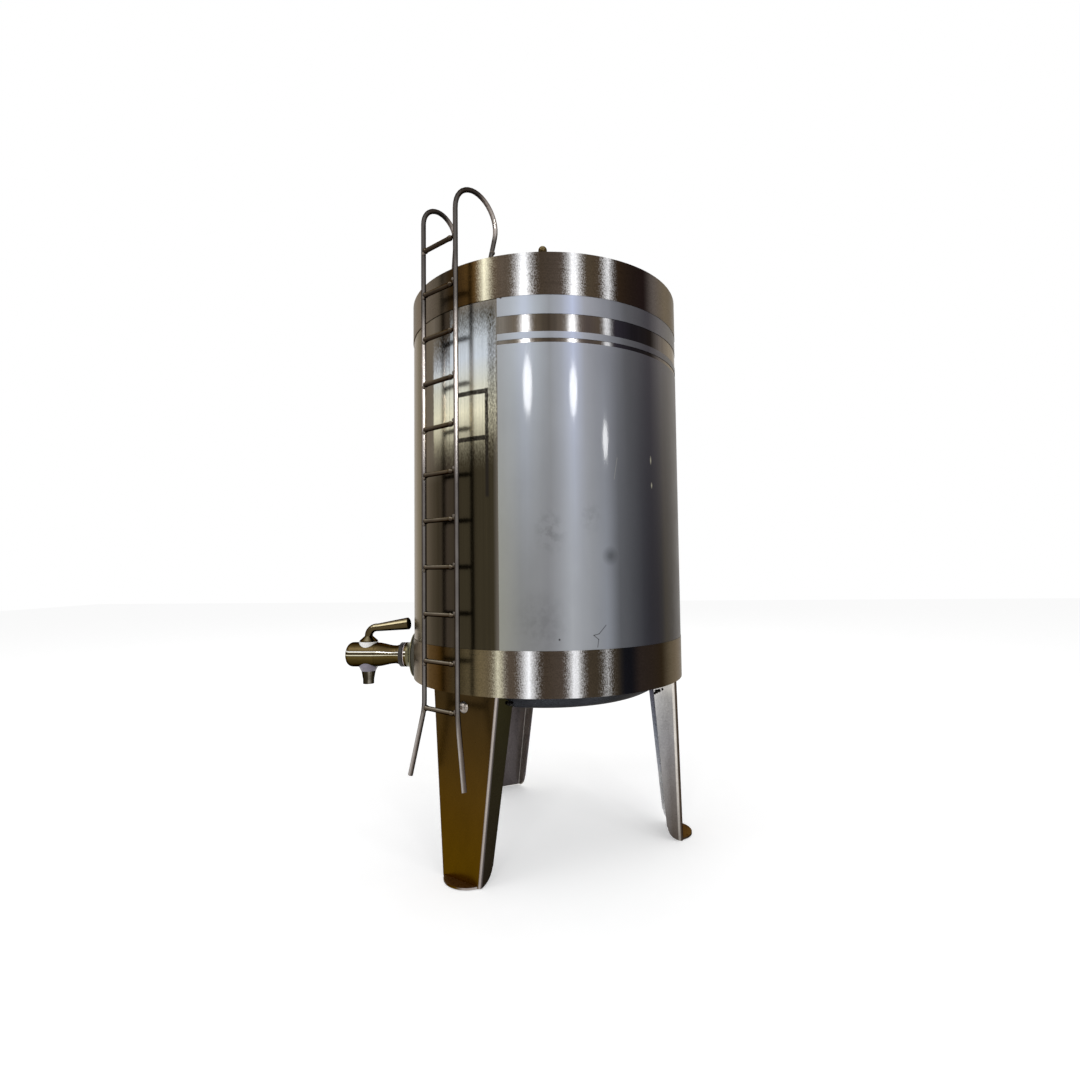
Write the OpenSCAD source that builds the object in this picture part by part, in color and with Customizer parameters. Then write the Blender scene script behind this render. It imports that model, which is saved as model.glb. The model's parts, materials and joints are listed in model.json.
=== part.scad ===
// Small stainless steel tank on three channel legs, with a tap and a wire ladder.
// The tap faces -Y, the tank's axis is Z and the floor is Z = 0.

/* [Tank] */
// Outside diameter of the tank over its steel bands
tank_d = 250; // [230:1:270]
// Height of the side wall from its lower edge to the rim
wall_h = 343.5; // [320:0.5:380]
// Height of the side wall's lower edge above the floor
stand_h = 146; // [130:1:160]
// Sheet thickness of the side wall, bottom and roof
sheet_t = 1.2; // [1:0.1:1.5]
// Thickness of the two steel bands
band_t = 0.6; // [0.5:0.1:0.8]
// Height of the top band
top_band_h = 33.8; // [30:0.1:38]
// Height of the bottom band
bottom_band_h = 35.6; // [32:0.1:40]

/* [Film] */
// Thickness of the film
film_t = 0.25; // [0.2:0.05:0.4]
// Half of the angle that stays bare, on each side of the tap
film_gap_angle = 78; // [70:1:90]
// Height of the upper film stripe
film_upper_h = 14.9; // [12:0.1:17]
// Height of the thin film stripe
film_thin_h = 5.2; // [4:0.1:7]
// Bare gap between the upper and the thin stripe
bare_upper_h = 13.9; // [11:0.1:16]
// Bare gap between the thin stripe and the main panel
bare_lower_h = 3.3; // [2:0.1:5]

/* [Bottom and roof] */
// Height of the bottom's outer edge above the wall's lower edge
bottom_rim_h = 3; // [2.5:0.1:3.5]
// Depth of the bottom's centre below the wall's lower edge
bottom_depth = 21; // [19:0.5:24]
// Slope of the bottom's flank
flank_angle = 29; // [27:1:31]
// Slope of the bottom's middle
crown_angle = 3.5; // [2:0.5:5]
// Radius between the flank and the middle of the bottom
knuckle_r = 40; // [30:1:50]
// Slope of the roof
roof_angle = 20; // [17:1:22]
// Height of the roof's turned-down edge
roof_edge_h = 10; // [8:1:14]
// How far the roof's edge lies below the rim
roof_drop = 1; // [0.5:0.1:2]

/* [Hatch and lid] */
// Inside diameter of the hatch collar
hatch_d = 120; // [110:1:126]
// Height of the hatch collar above the roof
collar_h = 6; // [5:0.5:8]
// Depth of the hatch collar below the roof
collar_drop = 4; // [3:0.5:6]
// Gap between the collar and the lid's skirt
lid_gap = 0.8; // [0.5:0.1:1.2]
// Thickness of the lid's sheet
lid_t = 1; // [0.8:0.1:1.2]
// Height of the lid's skirt below its gasket face
skirt_h = 4; // [3:0.5:4.5]
// Slope of the lid
lid_angle = 22; // [20:1:23]
// Thickness of the lid's gasket
gasket_t = 2; // [1.5:0.1:2.5]
// Diameter of the flat at the top of the lid
lid_flat_d = 14; // [12:1:16]
// Diameter of the knob's ball
ball_d = 8.6; // [7:0.1:10]
// Height of the ball's centre above the lid's flat
ball_h = 14.8; // [12:0.1:16]
// Diameter of the knob's neck
knob_neck_d = 5; // [4.5:0.1:6]
// Diameter of the knob's foot
knob_foot_d = 9; // [8:0.1:11]
// Thread diameter of the knob screw
knob_screw_d = 3; // [2.5:0.1:3.5]
// Length of the knob screw inside the knob
knob_screw_grip = 9; // [7:0.5:10]

/* [Legs] */
// Width of a leg at the wall's lower edge
leg_top_w = 69; // [64:1:74]
// Width of a leg at the floor
leg_foot_w = 40; // [36:1:46]
// Depth of a leg's flanges at the wall's lower edge
flange_top = 21; // [18:0.5:24]
// Depth of a leg's flanges at the floor
flange_foot = 13.4; // [12:0.1:16]
// Distance from the tank's outside in to a leg's web at the wall's lower edge
leg_inset = 8; // [7.8:0.1:10]
// How far a leg's web leans out from there to the floor
leg_splay = 4.8; // [2:0.1:8]
// Sheet thickness of the legs
leg_t = 1.5; // [1.2:0.1:2]
// Outside radius of a leg's bends
leg_bend_r = 2.6; // [2.2:0.1:3.5]
// Radius of the flanges' lower corners
leg_corner_r = 12.5; // [8:0.5:13]
// How far a foot tab sticks out from its web
foot_tab = 10; // [8:0.5:12]
// Distance from the wall's lower edge down to the leg screw
leg_screw_drop = 12; // [11:0.5:13]
// Thread diameter of the leg screws
leg_screw_d = 5; // [4:0.5:5]
// Diameter of a leg screw's head
leg_head_d = 9.5; // [8:0.5:11]
// Height of a leg screw's head
leg_head_h = 2.75; // [2.2:0.05:3.5]
// Thickness of the lugs under the bottom
lug_t = 3; // [2:0.5:4]
// Width of the lugs
lug_w = 26; // [20:1:32]
// Distance from the wall's lower edge down to the lugs' ends
lug_drop = 22; // [20:1:26]

/* [Ladder] */
// Angle of the ladder round the tank, counted from the tap
ladder_angle = 56; // [50:1:62]
// Distance from the tank's outside to the centres of the rails
ladder_gap = 8.8; // [7:0.1:15]
// Distance between the centres of the rails
rail_gap = 38.9; // [34:0.1:44]
// Diameter of the rails
rail_d = 4; // [3:0.1:5]
// Diameter of the rungs
rung_d = 4; // [3:0.1:4.2]
// Number of rungs
rung_count = 11; // [10:1:11]
// Distance between rungs
rung_pitch = 37.55; // [37:0.05:38]
// Height of the lowest rung above the floor
rung_low = 133.1; // [125:0.1:136]
// Radius of the right rail's loop
loop_right_r = 23; // [21:0.5:25]
// Height of the right loop's centre above the rim
loop_right_h = 42; // [40:0.5:46]
// Angle that the right loop runs on past its half turn
loop_right_over = 15; // [12:1:18]
// Radius of the left rail's loop
loop_left_r = 18; // [17:0.5:24]
// Height of the left loop's centre above the rim
loop_left_h = 42.5; // [39:0.5:45]
// Angle that the left loop runs on past its half turn
loop_left_over = 5; // [2:1:12]
// Height of the splayed rail ends' tips above the floor
splay_tip_h = 78.6; // [70:0.1:90]
// How far the splayed ends move sideways
splay_side = 12; // [8:0.5:14]
// How far the splayed ends move out from the tank
splay_out = 4.6; // [3:0.1:7]
// Diameter of the weld beads at the rungs' ends
bead_d = 5.4; // [4.4:0.1:5.8]

/* [Tap] */
// Height of the tap's axis above the wall's lower edge
tap_h = 15.5; // [15.3:0.1:17]
// Distance from the tank's outside to the tap's nose
tap_reach = 72.5; // [70:0.5:75]
// Diameter of the tap's barrel
barrel_d = 23.8; // [23:0.1:25]
// Length of the tap's barrel
barrel_l = 29.5; // [28:0.5:31]
// Radius of the barrel's nose edge
nose_r = 6; // [4:0.5:7]
// Diameter of the tap's waist
waist_d = 17.4; // [17:0.1:18]
// Diameter of the neck's end
neck_end_d = 19.6; // [19:0.1:21]
// Distance from the tank's outside to the end of the neck
neck_end = 18.5; // [18:0.1:19]
// Distance from the tap's nose back to the valve's axis
valve_back = 21; // [20:0.5:21.5]
// Diameter of the shank through the wall
shank_d = 12; // [11:0.5:12.5]
// Bore of the shank
shank_bore = 8; // [6:0.5:8.5]
// Length of the shank inside the neck
shank_grip = 8; // [6:0.5:9]
// Length of the shank inside the tank
shank_in = 20; // [16:0.5:24]
// Bore of the body's water passage
passage_d = 6; // [5:0.5:7]
// Diameter of the plug's bore in the body
plug_bore_d = 10; // [9.5:0.1:10.5]
// Running clearance round the plug and its stem, on the radius
run_gap = 0.05; // [0.03:0.01:0.08]
// Diameter of the plug's stem
stem_d = 7; // [6.5:0.1:7.5]
// Diameter of the stem's end in the lever
stem_end_d = 5; // [4:0.1:5.5]
// Diameter of the bell flange at the wall
bell_d = 43; // [40:0.5:44]
// Height of the bell flange
bell_h = 8; // [7.5:0.1:8.5]
// Diameter of the collar, the ring and the bell flange's nose
collar_d = 23.6; // [22:0.1:24.5]
// Thickness of the dark ring on the neck
ring_t = 4.4; // [4:0.1:4.8]
// Thickness of the thin washer behind the ring
thin_t = 0.8; // [0.6:0.1:1]
// Least thickness of the wall gaskets
wall_gasket_t = 1.2; // [1:0.1:1.6]
// Outside diameter of the inner gasket and washer
inner_washer_d = 20; // [18:0.5:20.5]
// Thickness of the inner washer
inner_washer_t = 1.2; // [1:0.1:1.6]
// Width across flats of the shank nut
shank_nut_af = 17; // [16:0.5:17.5]
// Thickness of the shank nut
shank_nut_h = 6; // [5:0.5:7]

/* [Lever and nozzle] */
// Diameter of the white ring under the lever
seat_d = 18.4; // [17:0.1:20]
// Height of the white ring above the barrel
seat_rise = 0.8; // [0.6:0.1:1.5]
// Diameter of the lever's base
lever_base_d = 17.4; // [16:0.1:19]
// Height of the lever's base cone
lever_base_h = 5.2; // [4:0.1:6]
// Diameter of the lever at its bend
lever_d = 7.6; // [7:0.1:8.5]
// Radius of the lever's bend
lever_bend_r = 8.5; // [7:0.1:10]
// Slope of the lever's arm
lever_angle = 7; // [4:0.5:12]
// Length of the lever's arm
lever_arm = 31; // [26:0.5:33]
// Diameter of the lever's tip
lever_tip_d = 11.8; // [10:0.1:13]
// Diameter of the grey ring above the nozzle
nozzle_ring_d = 18; // [17:0.1:20]
// Height of the grey ring below the barrel
nozzle_ring_h = 4; // [3:0.1:5]
// Diameter of the nozzle at its top
nozzle_top_d = 13.6; // [13:0.1:15]
// Diameter of the nozzle's straight end
nozzle_end_d = 10.6; // [10:0.1:11.5]
// Length of the nozzle below the grey ring
nozzle_l = 12.3; // [10:0.1:15]
// Length of the nozzle's straight end
nozzle_land = 4; // [3:0.5:6]
// Bore of the nozzle
nozzle_bore = 7; // [6:0.1:7.5]

/* [Hidden] */

$fn = 96;
eps = 0.01;
// Reach of a cutting shape past what it cuts
over = 40;
fine = 32;

// Tank
outer_r = tank_d / 2;
shell_r = outer_r - band_t;
inside_r = shell_r - sheet_t;
rim_z = stand_h + wall_h;
main_film_top = rim_z - top_band_h - film_upper_h - bare_upper_h - film_thin_h - bare_lower_h;

// Bottom, in heights counted from the wall's lower edge
flank_at_wall = bottom_rim_h;
flank_fall = flank_at_wall + bottom_depth - inside_r * tan(flank_angle);
corner_r = flank_fall / (tan(crown_angle) - tan(flank_angle));
corner_z = corner_r * tan(crown_angle) - bottom_depth;
knuckle_tangent = knuckle_r * tan((flank_angle - crown_angle) / 2);
knuckle_x = corner_r - knuckle_tangent * cos(crown_angle) - knuckle_r * sin(crown_angle);
knuckle_z = corner_z - knuckle_tangent * sin(crown_angle) + knuckle_r * cos(crown_angle);
knuckle_steps = 6;

// Roof, hatch and lid
roof_z = rim_z - roof_drop;
collar_r = hatch_d / 2 + sheet_t;
roof_rise = (inside_r - collar_r) * tan(roof_angle);
collar_top = roof_z + roof_rise + collar_h;
skirt_r = collar_r + lid_gap;
gasket_w = 3;
lid_z = collar_top + gasket_t;
lid_r = skirt_r + lid_t;
lid_top = lid_z + lid_t + (lid_r - lid_flat_d / 2) * tan(lid_angle);
knob_washer_t = 0.8;
knob_washer_d = 8;
knob_head_d = 5.6;
knob_head_h = 2.2;
knob_foot_h = 1.2;
knob_bottom_gap = 0.5;
knob_socket_af = 2;
knob_socket_depth = 1.2;

// Legs
leg_angles = [60, -60, 180];
leg_top_r = outer_r - leg_inset;
leg_foot_r = leg_top_r + leg_splay;
leg_lean = atan((leg_foot_r - leg_top_r) / stand_h);
leg_run = stand_h / cos(leg_lean);
leg_above = 9;
leg_below = 4;
// Clearance of a screw in its hole, on the diameter
hole_gap = 0.4;
screw_hole_d = leg_screw_d + hole_gap;
leg_washer_t = 1;
leg_washer_d = 2 * leg_screw_d;
leg_nut_af = 1.6 * leg_screw_d;
leg_nut_h = 0.8 * leg_screw_d;
leg_screw_stack = leg_t + lug_t + leg_washer_t + leg_nut_h;
socket_af = 3;
socket_depth = 1.6;
tab_half = leg_foot_w / 2 - leg_bend_r;
tab_r = (tab_half * tab_half + foot_tab * foot_tab) / (2 * foot_tab);

// Film's glue layer, and facets round the wall and what lies on it
glue_t = 0.1;
wall_fine = 180;

// Ladder
ladder_r = outer_r + ladder_gap;
weld_gap = 0.05;
loop_steps = 20;
splay_bend = 6;
rail_sides = 16;

// Tap, in distances from the tank's axis
tap_z = stand_h + tap_h;
nose_x = outer_r + tap_reach;
barrel_x = nose_x - barrel_l;
neck_x = outer_r + neck_end;
waist_l = 4.8;
waist_x = neck_x + waist_l;
waist_step = 0.3;
valve_x = nose_x - valve_back;
thin_x = neck_x - ring_t;
bell_sag = outer_r - sqrt(outer_r * outer_r - bell_d * bell_d / 4);
bell_x = outer_r + bell_sag + wall_gasket_t;
bell_edge = 1;
thin_step = 0.6;
collar_x = bell_x + bell_h;
hole_d = shank_d + hole_gap;
inner_sag = inside_r - sqrt(inside_r * inside_r - inner_washer_d * inner_washer_d / 4);
inner_x = inside_r - inner_sag - wall_gasket_t;
barrel_top = tap_z + barrel_d / 2;
barrel_low = tap_z - barrel_d / 2;
// Wall that the barrel keeps above and below the plug
plug_wall = 3.9;
plug_h = barrel_d - 2 * plug_wall;
plug_top = tap_z + plug_h / 2;
plug_low = tap_z - plug_h / 2;
seal_t = 1.5;
seat_top = barrel_top + seat_rise;
stem_end_h = 4;
socket_gap = 0.1;
ring_low = barrel_low - nozzle_ring_h;
nozzle_low = ring_low - nozzle_l;
spigot_top = plug_low - seal_t;
lever_steps = 8;
lever_sides = 20;
lever_edge = 1.2;
lever_foot_h = 1;
cone_step = 0.4;

// Points on an arc of radius r about [x, y], from angle a to angle b
function arc(x, y, r, a, b, n) =
    [for (i = [0:n]) let (t = a + (b - a) * i / n) [x + r * cos(t), y + r * sin(t)]];

// The bottom's profile at a depth t inside its outer face, from the axis to the wall
function bottom_profile(t) = concat(
    [[0, t / cos(crown_angle) - bottom_depth]],
    arc(knuckle_x, knuckle_z, knuckle_r - t, crown_angle - 90, flank_angle - 90, knuckle_steps),
    [[inside_r, flank_at_wall + t / cos(flank_angle)]]
);

function reversed(list) = [for (i = [len(list) - 1:-1:0]) list[i]];

// Value that runs from a at z = 0 to b at z = -leg_run
function along_leg(a, b, z) = a + (b - a) * (-z / leg_run);

module tube(r_out, r_in, h) {
    difference() {
        cylinder(r = r_out, h = h);
        translate([0, 0, -eps]) cylinder(r = r_in, h = h + 2 * eps);
    }
}

// Round bar from p to q with end diameters d1 and d2
module bar(p, q, d1, d2) {
    v = q - p;
    translate(p)
        rotate([0, acos(v[2] / norm(v)), atan2(v[1], v[0])])
            cylinder(d1 = d1, d2 = d2, h = norm(v), $fn = fine);
}

function unit(v) = v / norm(v);

// Direction of a path at point i
function heading(path, i) =
    unit(path[min(i + 1, len(path) - 1)] - path[max(i - 1, 0)]);

// Corners of a ring of radius r about point i of a path that runs across X
function ring(path, i, r, sides) =
    let (t = heading(path, i), s = unit([1, 0, 0] - t[0] * t), n = cross(t, s))
        [for (k = [0:sides - 1]) let (a = 360 * k / sides) path[i] + r * (cos(a) * s + sin(a) * n)];

// Round bar swept along a path, with one radius for each point
module sweep(path, radii, sides) {
    last = len(path) - 1;
    corners = [for (i = [0:last]) each ring(path, i, radii[i], sides)];
    walls = [for (i = [0:last - 1], k = [0:sides - 1])
        let (a = i * sides + k, b = i * sides + (k + 1) % sides)
            each [[a, a + sides, b], [b, a + sides, b + sides]]];
    caps = [[for (k = [0:sides - 1]) k], [for (k = [sides - 1:-1:0]) last * sides + k]];
    polyhedron(corners, concat(walls, caps), convexity = 6);
}

// Points on a smooth bend from p through the corner q to r
function bend(p, q, r, n) =
    [for (i = [0:n]) let (t = i / n) (1 - t) * (1 - t) * p + 2 * t * (1 - t) * q + t * t * r];

// Everything above the bottom's outer face
module above_bottom() {
    translate([0, 0, stand_h])
        rotate_extrude()
            polygon(concat(bottom_profile(0), [[inside_r, over], [0, over]]));
}

// Everything below the roof's top face
module below_roof() {
    rotate_extrude()
        polygon([
            [0, roof_z - over], [inside_r, roof_z - over], [inside_r, roof_z],
            [collar_r, roof_z + roof_rise], [0, roof_z + roof_rise]
        ]);
}

// Child's +Z points outward along the tap's axis, its +Y points up
module at_tap() {
    translate([0, 0, tap_z]) rotate([90, 0, 0]) children();
}

// Child stands on the valve's vertical axis
module at_valve() {
    translate([0, -valve_x, 0]) children();
}

// Child in a leg's frame: web face at Y = 0, inside at +Y, wall's lower edge at Z = 0
module at_leg(angle) {
    rotate([0, 0, angle])
        translate([0, -leg_top_r, stand_h])
            rotate([-leg_lean, 0, 0])
                children();
}

// Child's +Z points inward along a leg screw's axis, from the web's outer face
module at_leg_screw(angle) {
    at_leg(angle) translate([0, 0, -leg_screw_drop]) rotate([-90, 0, 0]) children();
}

module leg_screw_hole(angle) {
    at_leg_screw(angle) translate([0, 0, -over / 2]) cylinder(d = screw_hole_d, h = over);
}

module tap_hole() {
    at_tap() translate([0, 0, outer_r - over / 2]) cylinder(d = hole_d, h = over);
}

module tank_shell() {
    color("silver")
        difference() {
            translate([0, 0, stand_h]) tube(shell_r, inside_r, wall_h, $fn = wall_fine);
            tap_hole();
        }
}

module tank_bottom() {
    color("gray")
        translate([0, 0, stand_h])
            rotate_extrude()
                polygon(concat(bottom_profile(0), reversed(bottom_profile(sheet_t))));
}

module tank_roof() {
    inner_edge = inside_r - sheet_t;
    drop = sheet_t / cos(roof_angle);
    color("silver")
        rotate_extrude()
            polygon([
                [inside_r, roof_z - roof_edge_h], [inside_r, roof_z], [collar_r, roof_z + roof_rise],
                [collar_r, roof_z + roof_rise - drop],
                [inner_edge, roof_z + sheet_t * tan(roof_angle) - drop],
                [inner_edge, roof_z - roof_edge_h]
            ]);
}

module hatch_collar() {
    low = roof_z + roof_rise - collar_drop;
    color("silver")
        translate([0, 0, low]) tube(collar_r, hatch_d / 2, collar_top - low);
}

module top_band() {
    color("lightgray")
        translate([0, 0, rim_z - top_band_h]) tube(outer_r, shell_r, top_band_h, $fn = wall_fine);
}

module bottom_band() {
    color("lightgray")
        difference() {
            translate([0, 0, stand_h]) tube(outer_r, shell_r, bottom_band_h, $fn = wall_fine);
            tap_hole();
        }
}

module film_strip(z, h) {
    translate([0, 0, z])
        rotate([0, 0, film_gap_angle - 90])
            rotate_extrude(angle = 360 - 2 * film_gap_angle, $fn = wall_fine)
                translate([shell_r + glue_t, 0]) square([film_t, h]);
}

module side_film() {
    thin_z = main_film_top + bare_lower_h;
    color("slategray") {
        film_strip(stand_h + bottom_band_h, main_film_top - stand_h - bottom_band_h);
        film_strip(thin_z, film_thin_h);
        film_strip(thin_z + film_thin_h + bare_upper_h, film_upper_h);
    }
}

// Slice of a leg's outline at height z, drawn in by t, with its open side past the flanges by extra
module leg_slice(z, t, extra) {
    half = along_leg(leg_top_w, leg_foot_w, z) / 2;
    depth = along_leg(flange_top, flange_foot, z) + extra;
    translate([0, 0, z])
        for (side = [-1, 1]) {
            translate([side * (half - leg_bend_r), leg_bend_r, 0])
                cylinder(r = leg_bend_r - t, h = eps, $fn = fine);
            translate([side * (half - t) - (side > 0 ? eps : 0), depth - eps, 0])
                cube([eps, eps, eps]);
        }
}

module leg_block(t, extra) {
    hull() {
        leg_slice(leg_above, t, extra);
        leg_slice(-leg_run - leg_below, t, extra);
    }
}

// The round that is cut off the flanges' lower corners
module flange_corner() {
    translate([-over, flange_foot - leg_corner_r, -leg_run])
        difference() {
            translate([0, 0, -2 * leg_below]) cube([2 * over, over, leg_corner_r + 2 * leg_below]);
            translate([-eps, 0, leg_corner_r])
                rotate([0, 90, 0]) cylinder(r = leg_corner_r, h = 2 * over + 2 * eps);
        }
}

module foot_plate(angle) {
    rotate([0, 0, angle])
        intersection() {
            translate([0, tab_r - leg_foot_r - foot_tab, 0]) cylinder(r = tab_r, h = leg_t);
            translate([-over, -leg_foot_r - over, 0]) cube([2 * over, over + leg_t, leg_t]);
        }
}

module leg(angle) {
    color("darkgray") {
        difference() {
            at_leg(angle)
                difference() {
                    leg_block(0, 0);
                    leg_block(leg_t, over);
                    flange_corner();
                }
            above_bottom();
            leg_screw_hole(angle);
            translate([-2 * outer_r, -2 * outer_r, -over]) cube([4 * outer_r, 4 * outer_r, over]);
        }
        foot_plate(angle);
    }
}

module leg_right() { leg(leg_angles[0]); }
module leg_left() { leg(leg_angles[1]); }
module leg_back() { leg(leg_angles[2]); }

module leg_lugs() {
    color("gray")
        for (angle = leg_angles)
            difference() {
                at_leg(angle)
                    translate([-lug_w / 2, leg_t, -lug_drop])
                        cube([lug_w, lug_t, lug_drop + leg_above]);
                above_bottom();
                leg_screw_hole(angle);
            }
}

// Button head, socket and shank of a screw whose head stands on Z = 0 and whose shank runs to +Z
module button_screw(d, l, head_d, head_h, af, depth) {
    dome_r = (head_d * head_d / 4 + head_h * head_h) / (2 * head_h);
    difference() {
        intersection() {
            translate([0, 0, dome_r - head_h]) sphere(r = dome_r);
            translate([0, 0, -head_h]) cylinder(d = head_d, h = head_h);
        }
        translate([0, 0, -head_h - eps]) cylinder(d = af / cos(30), h = depth, $fn = 6);
    }
    translate([0, 0, -eps]) cylinder(d = d, h = l + eps);
}

module hex_nut(d, af, h) {
    difference() {
        cylinder(d = af / cos(30), h = h, $fn = 6);
        translate([0, 0, -eps]) cylinder(d = d, h = h + 2 * eps);
    }
}

module leg_screws() {
    color("whitesmoke")
        for (angle = leg_angles)
            at_leg_screw(angle)
                button_screw(
                    leg_screw_d, leg_screw_stack + 1, leg_head_d, leg_head_h, socket_af, socket_depth
                );
}

module leg_washers() {
    color("silver")
        for (angle = leg_angles)
            at_leg_screw(angle)
                translate([0, 0, leg_t + lug_t])
                    tube(leg_washer_d / 2, screw_hole_d / 2, leg_washer_t);
}

module leg_nuts() {
    color("silver")
        for (angle = leg_angles)
            at_leg_screw(angle)
                translate([0, 0, leg_t + lug_t + leg_washer_t])
                    hex_nut(leg_screw_d, leg_nut_af, leg_nut_h);
}

// Straight part, loop and splayed end of one rail; side is 1 for the right rail
module rail(side, loop_r, loop_h, run_on) {
    x = side * rail_gap / 2;
    loop_z = rim_z + loop_h;
    low = [x, -ladder_r, rung_low];
    tip = [x + side * splay_side, -ladder_r - splay_out, splay_tip_h];
    middle = [x, -ladder_r + loop_r, loop_z];
    loop = [for (i = [0:loop_steps]) let (a = 180 - (180 + run_on) * i / loop_steps)
        middle + loop_r * [0, cos(a), sin(a)]];
    end = loop[loop_steps] - over * [0, sin(run_on), cos(run_on)];
    knee = bend(low + splay_bend * unit(tip - low), low, low + [0, 0, splay_bend], 3);
    path = concat([tip], knee, loop, [end]);
    color("dimgray")
        rotate([0, 0, ladder_angle])
            difference() {
                sweep(path, [for (p = path) rail_d / 2], rail_sides);
                below_roof();
            }
}

module ladder_rail_left() { rail(-1, loop_left_r, loop_left_h, loop_left_over); }
module ladder_rail_right() { rail(1, loop_right_r, loop_right_h, loop_right_over); }

// The two straight rails, as a cutter for what is welded to them
module rail_cutter() {
    for (side = [-1, 1])
        translate([side * rail_gap / 2, -ladder_r, rung_low - over])
            cylinder(d = rail_d + 2 * weld_gap, h = rung_count * rung_pitch + 2 * over, $fn = fine);
}

module ladder_rungs() {
    bead_x = rail_gap / 2 - rail_d / 2;
    color("dimgray")
        rotate([0, 0, ladder_angle])
            for (i = [0:rung_count - 1])
                difference() {
                    translate([0, -ladder_r, rung_low + i * rung_pitch])
                        rotate([0, 90, 0]) {
                            cylinder(d = rung_d, h = rail_gap, center = true, $fn = fine);
                            for (side = [-1, 1])
                                translate([0, 0, side * bead_x]) sphere(d = bead_d, $fn = fine);
                        }
                    rail_cutter();
                    translate([rail_gap / 2 + rail_d / 4, -ladder_r - over / 2, 0])
                        cube([over, over, 2 * rim_z]);
                    translate([-rail_gap / 2 - rail_d / 4 - over, -ladder_r - over / 2, 0])
                        cube([over, over, 2 * rim_z]);
                }
}

module lid() {
    cone = tan(lid_angle);
    flat_r = lid_flat_d / 2;
    drop = lid_t / cos(lid_angle);
    hole_r = (knob_screw_d + hole_gap) / 2;
    color("silver")
        rotate_extrude()
            polygon([
                [skirt_r, collar_top - skirt_h], [lid_r, collar_top - skirt_h],
                [lid_r, lid_z + lid_t],
                [flat_r, lid_top], [hole_r, lid_top], [hole_r, lid_top - lid_t],
                [flat_r - (drop - lid_t) / cone, lid_top - lid_t],
                [skirt_r - gasket_w, lid_z + lid_t - drop + (lid_r - skirt_r + gasket_w) * cone],
                [skirt_r - gasket_w, lid_z], [skirt_r, lid_z]
            ]);
}

module lid_gasket() {
    color("white")
        translate([0, 0, collar_top]) tube(skirt_r, skirt_r - gasket_w, gasket_t);
}

module lid_knob() {
    color("tan")
        difference() {
            translate([0, 0, lid_top]) {
                cylinder(d = knob_foot_d, h = knob_foot_h);
                cylinder(d = knob_neck_d, h = ball_h);
                translate([0, 0, ball_h]) sphere(d = ball_d);
            }
            translate([0, 0, lid_top - eps]) cylinder(d = knob_screw_d, h = knob_screw_grip + eps);
        }
}

module knob_washer() {
    color("silver")
        translate([0, 0, lid_top - lid_t - knob_washer_t])
            tube(knob_washer_d / 2, (knob_screw_d + hole_gap) / 2, knob_washer_t);
}

module knob_screw() {
    seat = lid_top - lid_t - knob_washer_t;
    run = lid_t + knob_washer_t + knob_screw_grip - knob_bottom_gap;
    color("whitesmoke")
        translate([0, 0, seat])
            button_screw(
                knob_screw_d, run, knob_head_d, knob_head_h, knob_socket_af, knob_socket_depth
            );
}

module tap_flange() {
    bell_r = bell_h - bell_edge;
    nose = collar_d / 2;
    skirt = bell_d / 2;
    color("gray")
        at_tap()
            rotate_extrude()
                polygon(concat(
                    [[hole_d / 2, bell_x], [skirt, bell_x], [skirt, bell_x + bell_edge]],
                    [for (i = [1:8]) let (t = i * 90 / 8, rise = bell_r * (1 - cos(t)))
                        [skirt - (skirt - nose) * sin(t), bell_x + bell_edge + rise]],
                    [[hole_d / 2, bell_x + bell_h]]
                ));
}

module wall_gasket_outer() {
    color("dimgray")
        difference() {
            at_tap()
                translate([0, 0, outer_r - over / 2])
                    tube(bell_d / 2 - bell_edge, hole_d / 2, bell_x - outer_r + over / 2);
            cylinder(r = outer_r, h = rim_z, $fn = wall_fine);
        }
}

module wall_gasket_inner() {
    color("dimgray")
        intersection() {
            at_tap() translate([0, 0, inner_x]) tube(inner_washer_d / 2, hole_d / 2, over / 2);
            cylinder(r = inside_r, h = rim_z, $fn = wall_fine);
        }
}

module tap_shank() {
    low = inside_r - shank_in;
    color("darkgray")
        at_tap()
            translate([0, 0, low])
                tube(shank_d / 2, shank_bore / 2, neck_x + shank_grip - low);
}

module shank_washer() {
    color("silver")
        at_tap()
            translate([0, 0, inner_x - inner_washer_t])
                tube(inner_washer_d / 2, hole_d / 2, inner_washer_t);
}

module shank_nut() {
    color("silver")
        at_tap()
            translate([0, 0, inner_x - inner_washer_t - shank_nut_h])
                rotate([0, 0, 30]) hex_nut(shank_d, shank_nut_af, shank_nut_h);
}

module tap_collar() {
    color("gray")
        at_tap()
            translate([0, 0, collar_x])
                tube(collar_d / 2, hole_d / 2, thin_x - thin_t - collar_x);
}

module tap_washer() {
    color("whitesmoke")
        at_tap()
            translate([0, 0, thin_x - thin_t])
                tube(collar_d / 2 - thin_step, hole_d / 2, thin_t);
}

module tap_ring() {
    edge = 1.1;
    r = collar_d / 2;
    color("dimgray")
        at_tap()
            rotate_extrude()
                polygon(concat(
                    [[hole_d / 2, thin_x], [r - edge, thin_x]],
                    arc(r - edge, thin_x + edge, edge, -60, 0, 3),
                    arc(r - edge, neck_x - edge, edge, 0, 60, 3),
                    [[r - edge, neck_x], [hole_d / 2, neck_x]]
                ));
}

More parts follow.
